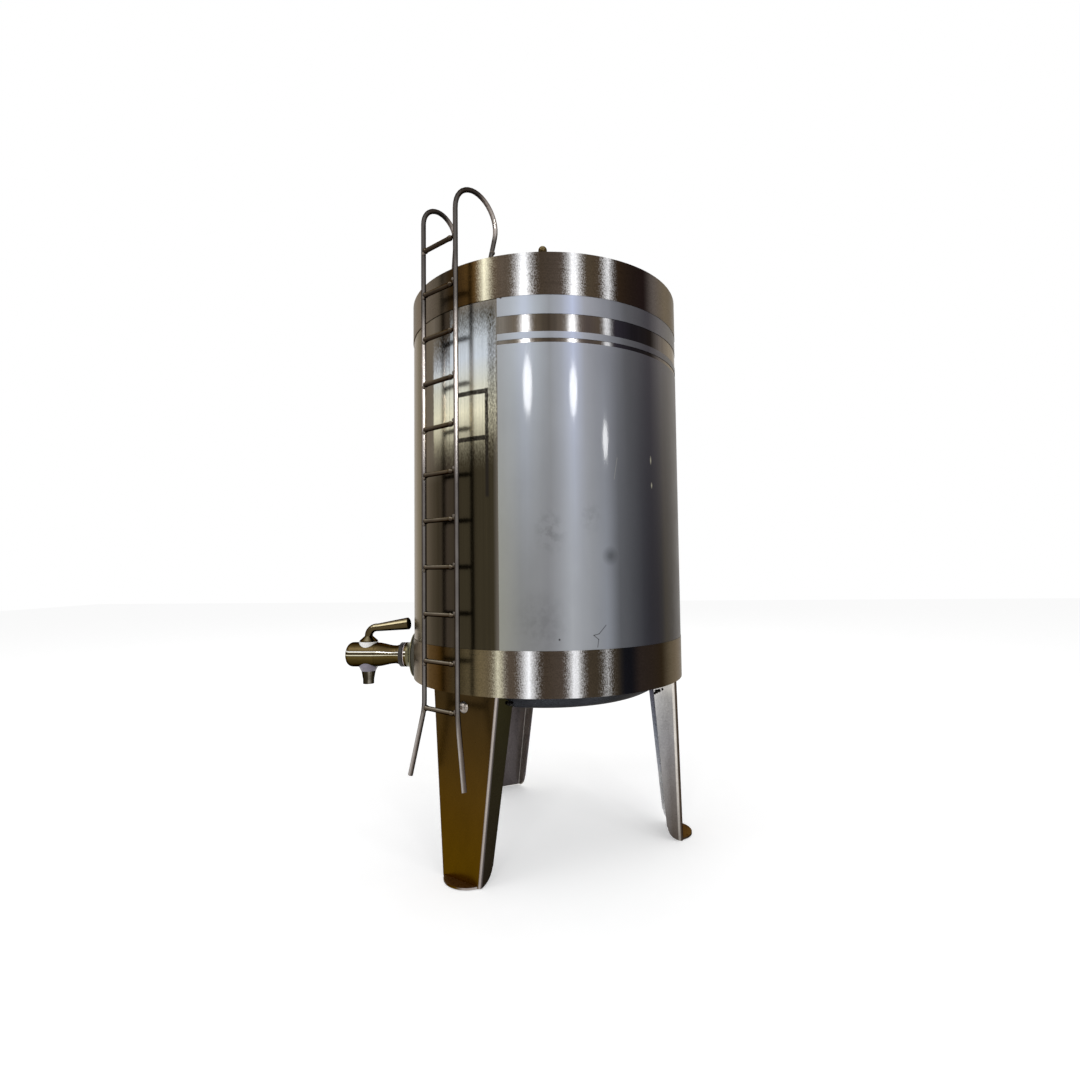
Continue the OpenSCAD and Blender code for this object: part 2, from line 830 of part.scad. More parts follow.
// The body's outline, from the end of the neck to the nose
function body_outline() = let (
        rb = barrel_d / 2,
        rw = waist_d / 2,
        swell = barrel_x - waist_x
    ) concat(
        [[0, neck_x], [neck_end_d / 2, neck_x]],
        [for (i = [1:4]) let (t = i * 45)
            [rw + (neck_end_d / 2 - rw) * (1 + cos(t)) / 2, neck_x + (waist_x - neck_x) * i / 4]],
        [for (i = [1:8]) let (t = i * 22.5)
            [rw + (rb - waist_step - rw) * (1 - cos(t)) / 2, waist_x + swell * i / 8]],
        [[rb, barrel_x]],
        arc(rb - nose_r, nose_x - nose_r, nose_r, 0, 90, 8),
        [[0, nose_x]]
    );

module tap_body() {
    color("gray")
        difference() {
            at_tap() rotate_extrude() polygon(body_outline());
            at_tap() translate([0, 0, neck_x - eps]) cylinder(d = shank_d, h = shank_grip + eps);
            at_tap() translate([0, 0, neck_x]) cylinder(d = passage_d, h = valve_x - neck_x);
            at_valve()
                translate([0, 0, barrel_low - 1])
                    cylinder(d = plug_bore_d, h = plug_top + seal_t - barrel_low + 1);
            at_valve() cylinder(d = stem_d + 2 * run_gap, h = barrel_top + 1);
        }
}

module tap_plug() {
    color("silver")
        at_valve()
            difference() {
                union() {
                    translate([0, 0, plug_low]) cylinder(d = plug_bore_d - 2 * run_gap, h = plug_h);
                    translate([0, 0, plug_top - eps])
                        cylinder(d = stem_d, h = seat_top - plug_top + eps);
                    translate([0, 0, seat_top - eps])
                        cylinder(d = stem_end_d, h = stem_end_h + eps);
                }
                translate([0, 0, tap_z])
                    rotate([0, 90, 0]) cylinder(d = passage_d, h = barrel_d, center = true);
                translate([0, 0, plug_low - eps]) cylinder(d = passage_d, h = plug_h / 2 + eps);
            }
}

module plug_seal_upper() {
    color("black")
        at_valve() translate([0, 0, plug_top]) tube(plug_bore_d / 2, stem_d / 2 + run_gap, seal_t);
}

module plug_seal_lower() {
    color("black")
        at_valve() translate([0, 0, spigot_top]) tube(plug_bore_d / 2, nozzle_bore / 2, seal_t);
}

module barrel_cutter() {
    at_tap() translate([0, 0, barrel_x - over]) cylinder(d = barrel_d, h = 2 * over);
}

module lever_seat() {
    color("white")
        difference() {
            at_valve()
                translate([0, 0, tap_z])
                    tube(seat_d / 2, (stem_d + hole_gap) / 2, seat_top - tap_z);
            barrel_cutter();
        }
}

module tap_lever() {
    bend_z = seat_top + lever_base_h;
    base_z = seat_top;
    middle = [0, lever_bend_r, bend_z];
    elbow = [for (i = [0:lever_steps]) let (a = 180 - (90 + lever_angle) * i / lever_steps)
        middle + lever_bend_r * [0, cos(a), sin(a)]];
    arm = [0, cos(lever_angle), sin(lever_angle)];
    tip = elbow[lever_steps] + lever_arm * arm;
    path = concat([[0, 0, base_z + 2 * lever_foot_h]], elbow, [tip, tip + lever_edge * arm]);
    tip_r = lever_tip_d / 2;
    radii = concat([for (i = [0:lever_steps + 1]) lever_d / 2], [tip_r, tip_r - lever_edge]);
    color("gray")
        at_valve()
            difference() {
                union() {
                    translate([0, 0, base_z]) cylinder(d = lever_base_d, h = lever_foot_h);
                    translate([0, 0, base_z + lever_foot_h])
                        cylinder(
                            d1 = lever_base_d, d2 = lever_d + cone_step, h = lever_base_h - lever_foot_h
                        );
                    sweep(path, radii, lever_sides);
                }
                translate([0, 0, base_z - eps])
                    cylinder(d = stem_end_d + socket_gap, h = stem_end_h + 2 * socket_gap);
            }
}

module nozzle_ring() {
    color("lavender")
        difference() {
            at_valve() {
                difference() {
                    union() {
                        translate([0, 0, barrel_low]) cylinder(d = nozzle_ring_d, h = barrel_d / 2);
                        translate([0, 0, ring_low])
                            cylinder(
                                d1 = nozzle_top_d + cone_step, d2 = nozzle_ring_d, h = nozzle_ring_h
                            );
                    }
                    translate([0, 0, ring_low - 1]) cylinder(d = plug_bore_d, h = barrel_d);
                }
            }
            barrel_cutter();
        }
}

module nozzle() {
    color("gray")
        at_valve()
            difference() {
                union() {
                    translate([0, 0, nozzle_low]) cylinder(d = nozzle_end_d, h = nozzle_land);
                    translate([0, 0, nozzle_low + nozzle_land])
                        cylinder(d1 = nozzle_end_d, d2 = nozzle_top_d, h = nozzle_l - nozzle_land);
                    translate([0, 0, ring_low - eps])
                        cylinder(d = plug_bore_d, h = spigot_top - ring_low + eps);
                }
                translate([0, 0, nozzle_low - 1])
                    cylinder(d = nozzle_bore, h = spigot_top - nozzle_low + 2);
            }
}

tank_shell();
tank_bottom();
tank_roof();
hatch_collar();
top_band();
bottom_band();
side_film();
leg_right();
leg_left();
leg_back();
leg_lugs();
leg_screws();
leg_washers();
leg_nuts();
ladder_rail_left();
ladder_rail_right();
ladder_rungs();
lid();
lid_gasket();
lid_knob();
knob_washer();
knob_screw();
tap_flange();
wall_gasket_outer();
wall_gasket_inner();
tap_shank();
shank_washer();
shank_nut();
tap_collar();
tap_washer();
tap_ring();
tap_body();
tap_plug();
plug_seal_upper();
plug_seal_lower();
lever_seat();
tap_lever();
nozzle_ring();
nozzle();
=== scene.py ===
"""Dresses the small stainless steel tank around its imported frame.

The tank stands on three channel legs, with a tap, a wire ladder and a loose
lid. All lengths are metres and angles are degrees. The tap points along -Y,
and angles round the tank are counted from it.
"""

import json
import logging
import math
from dataclasses import dataclass
from enum import Enum
from typing import Any, Optional, Sequence, Union

import bpy
from mathutils import Matrix, Vector

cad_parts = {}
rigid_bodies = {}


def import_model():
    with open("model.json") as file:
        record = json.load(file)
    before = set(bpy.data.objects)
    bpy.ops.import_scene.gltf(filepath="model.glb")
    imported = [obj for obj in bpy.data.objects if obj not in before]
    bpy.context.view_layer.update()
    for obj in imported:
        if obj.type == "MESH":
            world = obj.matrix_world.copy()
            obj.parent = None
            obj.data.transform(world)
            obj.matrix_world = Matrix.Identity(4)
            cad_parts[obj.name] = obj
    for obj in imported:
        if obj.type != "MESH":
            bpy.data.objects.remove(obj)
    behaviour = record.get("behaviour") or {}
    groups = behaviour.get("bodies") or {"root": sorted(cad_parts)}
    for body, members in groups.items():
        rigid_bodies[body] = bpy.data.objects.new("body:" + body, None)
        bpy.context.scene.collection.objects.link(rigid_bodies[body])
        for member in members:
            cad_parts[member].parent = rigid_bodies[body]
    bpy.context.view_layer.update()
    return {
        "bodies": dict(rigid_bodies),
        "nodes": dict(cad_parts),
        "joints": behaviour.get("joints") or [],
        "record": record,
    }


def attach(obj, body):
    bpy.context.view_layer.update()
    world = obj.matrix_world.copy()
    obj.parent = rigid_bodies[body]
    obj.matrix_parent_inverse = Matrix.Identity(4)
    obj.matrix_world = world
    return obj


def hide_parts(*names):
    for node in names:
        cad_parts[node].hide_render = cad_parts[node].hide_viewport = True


LOG = logging.getLogger("tank")
UP = (0.0, 0.0, 1.0)
Colour = tuple[float, float, float]
Place = tuple[float, float, float]
Span = tuple[float, float]
Edges = tuple[float, float, float]
Patch = tuple[Edges, Edges]
Stops = Sequence[tuple[float, Colour]]
PaintedHighlights = Sequence[Edges]
Rows = Sequence[tuple[float, ...]]
Scale = Union[float, Place]
Inputs = dict[Union[str, int], Any]
Number = Union["Socket", float]
Piece = bpy.types.Object
Material = bpy.types.Material
WALL_RADIUS = 0.125
LEG_TOP_RADIUS = 0.117
LEG_TOP_HEIGHT = 0.146
LEG_SPREAD = 0.03288
BAR_SMOOTH = 50.0
DROP_SMOOTH = 60.0


def shade(red: int, green: int, blue: int) -> Colour:
    """Turn a shade from 0 to 255, as on a screen, into linear light.

    Args:
        red: red shade.
        green: green shade.
        blue: blue shade.

    Returns:
        The linear colour.
    """
    levels = [value / 255.0 for value in (red, green, blue)]
    r, g, b = (
        v / 12.92 if v <= 0.04045 else ((v + 0.055) / 1.055) ** 2.4 for v in levels
    )
    return r, g, b


def tones(*rows: tuple[Any, ...]) -> Stops:
    """Build a ramp from rows of a place and a shade.

    Args:
        rows: place with red, green and blue from 0 to 255, or with a made colour.

    Returns:
        Stops for Graph.ramp.
    """
    return tuple((at, rgb[0] if len(rgb) == 1 else shade(*rgb)) for at, *rgb in rows)


WHITE = shade(246, 247, 250)
CREAM = shade(226, 221, 194)
PEWTER = shade(118, 112, 104)
WARM_GREY = shade(106, 95, 83)
UMBER = shade(60, 52, 44)
AMBER = shade(82, 55, 24)
OLIVE = shade(54, 48, 35)
INK = shade(24, 22, 26)
EDGE_TINT = (0.16, 0.13, 0.09)
BAND_EDGE_TINT = (0.6, 0.55, 0.48)


class Grain(Enum):
    """Cycles per metre along X, Y and Z of a brushed or blasted surface."""

    UPRIGHT = (900.0, 900.0, 9.0)
    AROUND = (14.0, 14.0, 900.0)
    BLASTED = (700.0, 700.0, 700.0)


def outward(angle: float, rise: float = 0.0) -> Place:
    """Return the direction that points out from the tank.

    Args:
        angle: angle round the tank from the tap.
        rise: angle above level.

    Returns:
        The unit vector.
    """
    a, r = math.radians(angle), math.radians(rise)
    return (math.sin(a) * math.cos(r), -math.cos(a) * math.cos(r), math.sin(r))


class Socket:
    """An output of a material's node tree that takes plain arithmetic."""

    def __init__(self, graph: "Graph", link: bpy.types.NodeSocket) -> None:
        """Keep the graph that owns the output, and the output itself."""
        self.graph = graph
        self.link = link

    def _math(self, operation: str, *values: Number) -> "Socket":
        """Add one Math node.

        Args:
            operation: the Math node's operation.
            values: its inputs, in order.

        Returns:
            The node's result.
        """
        inputs = dict(enumerate(values))
        return self.graph.node("ShaderNodeMath", {"operation": operation}, inputs)

    def __add__(self, other: Number) -> "Socket":
        """Return self + other."""
        return self._math("ADD", self, other)

    __radd__ = __add__

    def __sub__(self, other: Number) -> "Socket":
        """Return self - other."""
        return self._math("SUBTRACT", self, other)

    def __rsub__(self, other: float) -> "Socket":
        """Return other - self."""
        return self._math("SUBTRACT", other, self)

    def __mul__(self, other: Number) -> "Socket":
        """Return self * other."""
        return self._math("MULTIPLY", self, other)

    __rmul__ = __mul__

    def __truediv__(self, other: Number) -> "Socket":
        """Return self / other."""
        return self._math("DIVIDE", self, other)

    def __pow__(self, power: float) -> "Socket":
        """Return self to a power."""
        return self._math("POWER", self, power)

    def clip(self) -> "Socket":
        """Return self held between 0 and 1."""
        limits = {"Value": self, "Min": 0.0, "Max": 1.0}
        return self.graph.node("ShaderNodeClamp", {}, limits)

    def rise(self, low: float, high: float) -> "Socket":
        """Return 0 below low, 1 above high and a straight slope between."""
        return ((self - low) / (high - low)).clip()

    def band(self, low: float, high: float, soft: float) -> "Socket":
        """Return 1 where self lies between two values and 0 elsewhere.

        Args:
            low: lower edge.
            high: upper edge.
            soft: width over which each edge fades.

        Returns:
            The mask.
        """
        half = soft / 2
        return self.rise(low - half, low + half) * (
            1.0 - self.rise(high - half, high + half)
        )


class Graph:
    """One material and the nodes that are added to it."""

    def __init__(self, name: str) -> None:
        """Start an empty material.

        Args:
            name: the material's name.
        """
        self.material = bpy.data.materials.new(name)
        self.material.use_nodes = True
        self.tree = self.material.node_tree
        self.tree.nodes.clear()
        place = self.tree.nodes.new("ShaderNodeTexCoord")
        self.place = Socket(self, place.outputs["Object"])
        self.facing = Socket(self, place.outputs["Normal"])
        parts = self.tree.nodes.new("ShaderNodeSeparateXYZ")
        self.tree.links.new(self.place.link, parts.inputs[0])
        self.x, self.y, self.z = (Socket(self, axis) for axis in parts.outputs)

    def node(
        self, kind: str, settings: dict[str, Any], inputs: Inputs, output: int = 0
    ) -> Socket:
        """Add any node.

        Args:
            kind: the node's type.
            settings: its properties; "stops" fills a colour ramp.
            inputs: values or sockets by input name or index.
            output: index of the output to return.

        Returns:
            The chosen output.
        """
        made = self.tree.nodes.new(kind)
        for key, value in settings.items():
            if key == "stops":
                self._fill_ramp(made.color_ramp, value)
            else:
                setattr(made, key, value)
        for key, value in inputs.items():
            if isinstance(value, Socket):
                self.tree.links.new(value.link, made.inputs[key])
            else:
                made.inputs[key].default_value = value
        return Socket(self, made.outputs[output])

    @staticmethod
    def _fill_ramp(ramp: bpy.types.ColorRamp, stops: Stops) -> None:
        """Set a colour ramp's stops.

        Args:
            ramp: the ramp.
            stops: position and colour of each stop, in order.
        """
        while len(ramp.elements) < len(stops):
            ramp.elements.new(1.0)
        for element, (position, colour) in zip(ramp.elements, stops):
            element.position = position
            element.color = (*colour, 1.0)

    def ramp(self, value: Socket, stops: Stops) -> Socket:
        """Return a colour looked up from a value between 0 and 1."""
        return self.node("ShaderNodeValToRGB", {"stops": stops}, {"Fac": value})

    def around(self, stops: Stops, turn: Optional[Socket] = None) -> Socket:
        """Return a colour looked up from the angle round the tank.

        Args:
            stops: angle from the tap and colour of each stop, in order.
            turn: the angle as 0 to 1 where it isn't azimuth().

        Returns:
            The colour.
        """
        placed = [(angle / 360.0 + 0.5, colour) for angle, colour in stops]
        return self.ramp(turn or self.azimuth(), placed)

    def mix(self, factor: Any, first: Any, second: Any, how: str = "MIX") -> Socket:
        """Mix two colours.

        Args:
            factor: share of the second colour.
            first: a colour or a socket.
            second: a colour or a socket.
            how: blend type.

        Returns:
            The mixed colour.
        """
        first, second = (
            (*c, 1.0) if isinstance(c, tuple) else c for c in (first, second)
        )
        settings = {"data_type": "RGBA", "blend_type": how}
        inputs = {0: factor, 6: first, 7: second}
        return self.node("ShaderNodeMix", settings, inputs, output=2)

    def scaled(self, base: Any, level: Socket) -> Socket:
        """Return a colour made lighter or darker by a factor."""
        return self.mix(1.0, base, level, "MULTIPLY")

    def noise(self, scale: Scale, detail: float = 3.0, rough: float = 0.55) -> Socket:
        """Return fractal noise on object coordinates.

        Args:
            scale: cycles per metre, alike or for each axis.
            detail: octaves.
            rough: strength of the fine octaves.

        Returns:
            The noise, around 0.5.
        """
        axes = scale if isinstance(scale, tuple) else (scale,) * 3
        place = self.node(
            "ShaderNodeVectorMath", {"operation": "MULTIPLY"}, {0: self.place, 1: axes}
        )
        inputs = {"Vector": place, "Scale": 1.0, "Detail": detail, "Roughness": rough}
        return self.node("ShaderNodeTexNoise", {}, inputs)

    def azimuth(self) -> Socket:
        """Work out the angle about Z.

        Returns:
            The angle as 0 to 1, 0.5 at the tap, rising anticlockwise.
        """
        angles = {0: self.x, 1: -1.0 * self.y}
        turn = self.node("ShaderNodeMath", {"operation": "ARCTAN2"}, angles)
        return turn / (2 * math.pi) + 0.5

    def degrees(self) -> Socket:
        """Return the angle round the tank from the tap, in degrees."""
        return (self.azimuth() - 0.5) * 360.0

    def towards(self, direction: Place) -> Socket:
        """Return how far the surface faces a direction, from -1 to 1."""
        pair = {0: self.facing, 1: direction}
        return self.node("ShaderNodeVectorMath", {"operation": "DOT_PRODUCT"}, pair, 1)

    def spot(self, angle: float, height: float, wide: float, high: float) -> Socket:
        """Return a soft round spot on the wall.

        Args:
            angle: its angle round the tank.
            height: its height.
            wide: half of its width in degrees.
            high: half of its height in metres.

        Returns:
            The mask, 1 in the middle.
        """
        across = (self.degrees() - angle) / wide
        along = (self.z - height) / high
        return (1.2 - (across * across + along * along) ** 0.5).clip()

    def spots(self, rows: Rows) -> Socket:
        """Return the sum of spots, given as spot() takes them and a strength."""
        return sum(self.spot(*spot) * strength for *spot, strength in rows)

    def patches(self, *patches: Patch, height: Optional[Socket] = None) -> Socket:
        """Return soft-edged rectangles on the wall.

        Args:
            patches: low edge, high edge and softness of the height and the angle.
            height: the height where it isn't the plain one.

        Returns:
            The sum of the masks.
        """
        level, turn = height or self.z, self.degrees()
        return sum(level.band(*up) * turn.band(*aside) for up, aside in patches)

    def stroke(self, start: Span, end: Span, width: float) -> Socket:
        """Return a thin straight line on the wall.

        Args:
            start: angle round the tank and height of one end.
            end: angle and height of the other end.
            width: half of the line's width in metres.

        Returns:
            The mask, 1 along the middle of the line.
        """
        scale = math.radians(WALL_RADIUS)
        run, climb = (end[0] - start[0]) * scale, end[1] - start[1]
        across = (self.degrees() - start[0]) * scale
        along = self.z - start[1]
        share = ((across * run + along * climb) / (run * run + climb * climb)).clip()
        aside, above = across - share * run, along - share * climb
        return (1.0 - ((aside * aside + above * above) ** 0.5) / width).clip()

    def strokes(self, points: Sequence[Span], width: float) -> Socket:
        """Return the sum of the strokes that lead from point to point."""
        ends = zip(points, points[1:])
        return sum(self.stroke(start, end, width) for start, end in ends)

    def bump(self, height: Socket, strength: float, distance: float) -> Socket:
        """Return a normal bent by a height.

        Args:
            height: the height.
            strength: share of the effect.
            distance: height that 1 stands for.

        Returns:
            The normal.
        """
        inputs = {"Strength": strength, "Distance": distance, "Height": height}
        return self.node("ShaderNodeBump", {}, inputs)

    def finish(self, **sockets: Any) -> Material:
        """Add the surface shader.

        Args:
            sockets: values or links of the shader's inputs, with _ for a space.

        Returns:
            The finished material.
        """
        inputs = {key.replace("_", " "): value for key, value in sockets.items()}
        for key, value in inputs.items():
            if isinstance(value, tuple) and len(value) == 3:
                inputs[key] = (*value, 1.0)
        surface = self.node("ShaderNodeBsdfPrincipled", {}, inputs)
        end = self.tree.nodes.new("ShaderNodeOutputMaterial")
        self.tree.links.new(surface.link, end.inputs["Surface"])
        return self.material

    def metal(
        self, base: Socket, rough: Socket, normal: Socket, edge: Colour = EDGE_TINT
    ) -> Material:
        """Finish the material as bare metal.

        Args:
            base: its colour.
            rough: its roughness.
            normal: its normal.
            edge: tint of what it mirrors at a glance.

        Returns:
            The finished material.
        """
        return self.finish(
            Base_Color=base,
            Metallic=1.0,
            Roughness=rough,
            Specular_Tint=edge,
            Normal=normal,
        )


def painted_highlight_stops(lines: PaintedHighlights) -> list[tuple[float, Colour]]:
    """Lay soft painted highlights round the tank as stops of a grey ramp.

    Args:
        lines: angle, half width and strength of each streak, in order.

    Returns:
        The stops.
    """
    dark = (0.0, 0.0, 0.0)
    stops = []
    for centre, half, strength in lines:
        top = (strength,) * 3
        stops += [(centre - half, dark), (centre, top), (centre + half, dark)]
    return stops


def sparkle(glow: Socket, grit: Socket, strength: float) -> Socket:
    """Break the edges of a painted highlight into fine bright painted glints.

    Args:
        glow: the painted highlight, from 0 to 1.
        grit: noise around 0.5.
        strength: how far the glints stand out.

    Returns:
        The painted highlight with its glints, from 0 to 1.
    """
    glint_specks = (grit - 0.5) * strength * glow * (1.1 - glow)
    return (glow * glow + glint_specks).clip()


def swing(middle: float, *parts: tuple[Socket, float]) -> Socket:
    """Vary a number by noise.

    Args:
        middle: the number.
        parts: each noise, around 0.5, and its share.

    Returns:
        The varied number.
    """
    return sum(((noise - 0.5) * share for noise, share in parts), middle)


# Painted highlights round the back of both bands: angle, half width and strength.
FAR_HIGHLIGHTS: PaintedHighlights = (
    (-150.0, 4.0, 0.8), (-110.0, 3.0, 0.9), (-55.0, 4.0, 1.0), (-25.0, 3.0, 0.7),
)
# Painted reflections on both bands: light and dark tones by the angle round the tank.
BAND_LEFT: Stops = tones(
    (-180.0, UMBER), (-150.0, WARM_GREY), (-128.0, OLIVE), (-95.0, INK),
    (-70.0, PEWTER), (-40.0, AMBER), (-12.0, UMBER), (18.0, OLIVE),
)
BAND_MIDDLE: Stops = tones(
    (80.0, 80, 70, 60), (94.0, 58, 49, 40), (101.0, 70, 61, 54), (111.0, 56, 48, 38),
)


@dataclass(frozen=True)
class BandSteel:
    """Steel strip brushed round the tank, with painted reflections and sparkling
    painted highlights.
    """

    name: str
    # Painted highlights, then painted reflection tones in front, behind and at the end.
    lines: PaintedHighlights
    front: Stops
    rear: Stops
    end: Stops = ((180.0, UMBER),)
    # Angles where the painted highlights turn from cream to white, how far they wander,
    # and the strength of their glints.
    cream_to_white: Span = (79.0, 84.0)
    wander: float = 0.003
    glint_specks: float = 2.6

    def make(self) -> Material:
        """Build the material.

        Returns:
            The material.
        """
        g = Graph(self.name)
        grain = g.noise(Grain.AROUND.value, 4.0, 0.7)
        grit = g.noise((1300.0, 1300.0, 900.0), 1.0, 0.5)
        turn = g.azimuth() + (grain - 0.5) * self.wander
        # Painted reflections: light and dark tones by the angle round the tank, varied
        # by the grain.
        stops = (*BAND_LEFT, *self.front, *BAND_MIDDLE, *self.rear, *self.end)
        level = swing(1.0, (grain, 0.35), (grit, 0.9))
        painted_reflection = g.scaled(g.around(stops, turn), level)
        # Painted highlights with glints at their edges, cream to white round the tank.
        lines = painted_highlight_stops((*FAR_HIGHLIGHTS, *self.lines))
        lit = sparkle(g.around(lines, turn), grit, self.glint_specks)
        glint = g.mix(g.degrees().rise(*self.cream_to_white), CREAM, WHITE)
        return g.metal(
            g.mix(lit, painted_reflection, glint),
            swing(0.3, (grain, 0.2)),
            g.bump(grit, 0.2, 0.00004),
            BAND_EDGE_TINT,
        )


# Painted reflections on the bare wall: light and dark tones by the angle round the
# tank.
PANEL_REFLECTION: Stops = tones(
    (-180.0, 140, 132, 122), (-130.0, UMBER), (-78.0, OLIVE), (-60.0, WARM_GREY),
    (-42.0, OLIVE), (-20.0, PEWTER), (-4.0, UMBER), (14.0, PEWTER),
    (26.0, 146, 138, 126), (34.0, 112, 106, 92), (42.0, 84, 77, 68), (49.0, 56, 50, 40),
    (55.0, UMBER), (62.0, OLIVE), (76.0, OLIVE), (79.0, PEWTER), (84.0, 88, 80, 70),
    (92.5, 72, 64, 54), (97.0, UMBER), (101.5, 84, 76, 68), (111.0, 58, 51, 48),
    (116.0, UMBER), (122.5, 40, 37, 44), (130.0, INK), (141.0, INK),
    (146.0, 90, 86, 86), (158.0, 140, 132, 122),
)
# Painted highlights on the bare wall.
PANEL_HIGHLIGHTS: PaintedHighlights = ((88.4, 3.8, 0.88), (105.3, 3.6, 0.9), (118.8, 3.2, 0.8))
# Painted reflection of a window beside the ladder: its tones by height, its panes and
# its dark bars.
WINDOW_REFLECTION_TONE: Stops = tones(
    (0.0, OLIVE), (0.17, 150, 144, 122), (0.35, CREAM), (0.5, 206, 206, 192),
    (0.66, 196, 203, 211), (0.85, 172, 178, 182), (1.0, PEWTER),
)
WINDOW: tuple[Patch, ...] = (
    ((0.331, 0.449, 0.046), (57.0, 77.7, 0.8)),
    ((0.333, 0.424, 0.04), (46.5, 57.0, 1.2)),
)
WINDOW_BARS: tuple[Patch, ...] = (
    ((0.3450, 0.3486, 0.0008), (60.0, 73.9, 0.5)),
    ((0.3818, 0.3854, 0.0008), (60.0, 73.9, 0.5)),
    ((0.300, 0.3854, 0.002), (73.0, 74.3, 0.5)),
)


@dataclass(frozen=True)
class PanelSteel:
    """Bare wall brushed upright, with painted reflections, painted highlights and a
    painted reflection of a window beside the ladder.
    """

    # Heights where the painted window reflection turns pale, patches of painted
    # reflection at the top and left, the painted window pane, and where the painted
    # window reflection dims.
    glow_height: Span = (0.32, 0.46)
    top_reflection_patch: Patch = ((0.451, 0.6, 0.01), (62.0, 77.7, 1.0))
    left_reflection_patch: Patch = ((0.33, 0.6, 0.03), (36.0, 50.0, 5.0))
    pane: Patch = ((0.348, 0.382, 0.001), (57.0, 73.2, 0.4))
    dim_edge: Span = (73.5, 75.0)

    def make(self) -> Material:
        """Build the material.

        Returns:
            The material.
        """
        g = Graph("panel_steel")
        grain = g.noise(Grain.UPRIGHT.value, 4.0, 0.7)
        grit = g.noise((1000.0, 1000.0, 420.0), 2.0, 0.6)
        wide = g.noise((260.0, 260.0, 4.0), 2.0, 0.5)
        # Painted reflections round the wall, a lighter patch near the top, a paler one
        # at the left edge, and painted highlights.
        painted_reflection = g.around(PANEL_REFLECTION)
        painted_reflection = g.mix(g.patches(self.top_reflection_patch) * 0.8, painted_reflection, PEWTER)
        pale = shade(112, 104, 94)
        painted_reflection = g.mix(g.patches(self.left_reflection_patch) * 0.8, painted_reflection, pale)
        lines = sparkle(g.around(painted_highlight_stops(PANEL_HIGHLIGHTS)), grit, 1.2)
        painted_reflection = g.mix(lines, painted_reflection, WHITE)
        # Painted reflection of a window beside the ladder, with dark bars, glinting
        # edges and tones by height.
        ragged = g.z + (grain - 0.5) * 0.008
        glow = g.patches(*WINDOW, height=ragged)
        glow = glow * (1.0 - g.degrees().rise(*self.dim_edge) * 0.35)
        glow = (glow + g.patches(self.pane) * 0.25).clip()
        bars = g.patches(*WINDOW_BARS).clip()
        painted_reflection = g.mix(bars * 0.6, painted_reflection, INK)
        lit = sparkle(glow * (1.0 - bars * 0.8), grit, 4.5)
        tone = g.ramp(g.z.rise(*self.glow_height), WINDOW_REFLECTION_TONE)
        level = swing(1.0, (grain, 0.45), (wide, 0.4))
        return g.metal(
            g.scaled(g.mix(lit, painted_reflection, tone), level),
            swing(0.23, (grain, 0.12)),
            g.bump(grain, 0.12, 0.00003),
            BAND_EDGE_TINT,
        )


# Painted light and shade on the film by the angle round the tank, low down and high up,
# with painted highlight stripes.
FILM_LOW: Stops = tones(
    (-180.0, 70, 63, 55), (-150.0, 88, 86, 84), (-120.0, 120, 120, 120),
    (-78.0, 96, 92, 84), (76.0, 146, 146, 135), (86.0, 124, 125, 124),
    (96.0, 124, 125, 128), (104.0, 158, 161, 166), (112.0, 138, 141, 146),
    (117.0, 126, 130, 138), (122.0, 78, 80, 85), (134.0, 42, 42, 48),
    (142.0, 32, 29, 34), (145.0, 34, 30, 30), (148.0, 50, 43, 32), (155.0, 54, 47, 38),
    (160.0, 70, 63, 55),
)
FILM_HIGH: Stops = tones(
    (-180.0, 100, 94, 86), (-150.0, 126, 124, 122), (-120.0, 150, 152, 156),
    (-78.0, 120, 116, 108), (76.0, 150, 152, 156), (84.0, 172, 178, 186),
    (88.0, 184, 192, 208), (92.0, 166, 172, 180), (97.0, 138, 141, 146),
    (101.0, 152, 156, 166), (105.5, 180, 188, 212), (110.0, 142, 144, 152),
    (118.0, 116, 118, 126), (127.0, 76, 76, 80), (139.0, 58, 55, 60),
    (147.0, 92, 88, 88), (158.0, 100, 94, 86),
)
FILM_SMUDGES: Rows = (
    (118.5, 0.253, 2.9, 0.0068, 0.55, 0.0), (96.5, 0.272, 5.5, 0.016, 0.0, 0.24),
    (93.0, 0.202, 9.0, 0.024, 0.1, 0.12), (111.0, 0.283, 4.0, 0.012, 0.0, 0.16),
)
FILM_SPECKS: Rows = (
    (79.5, 0.456, 0.55, 0.0011, 1.0),
    (114.5, 0.459, 0.5, 0.001, 1.0),
    (99.3, 0.190, 0.4, 0.0009, 0.6),
)
FILM_NICKS: Rows = (
    (139.0, 0.3315, 0.45, 0.0035, 1.0),
    (139.3, 0.3108, 0.45, 0.0025, 1.0),
)
DARK_SCRATCH: tuple[Span, ...] = (
    (116.3, 0.1998), (113.6, 0.1935), (111.6, 0.1925), (113.4, 0.1893), (113.0, 0.1835),
)


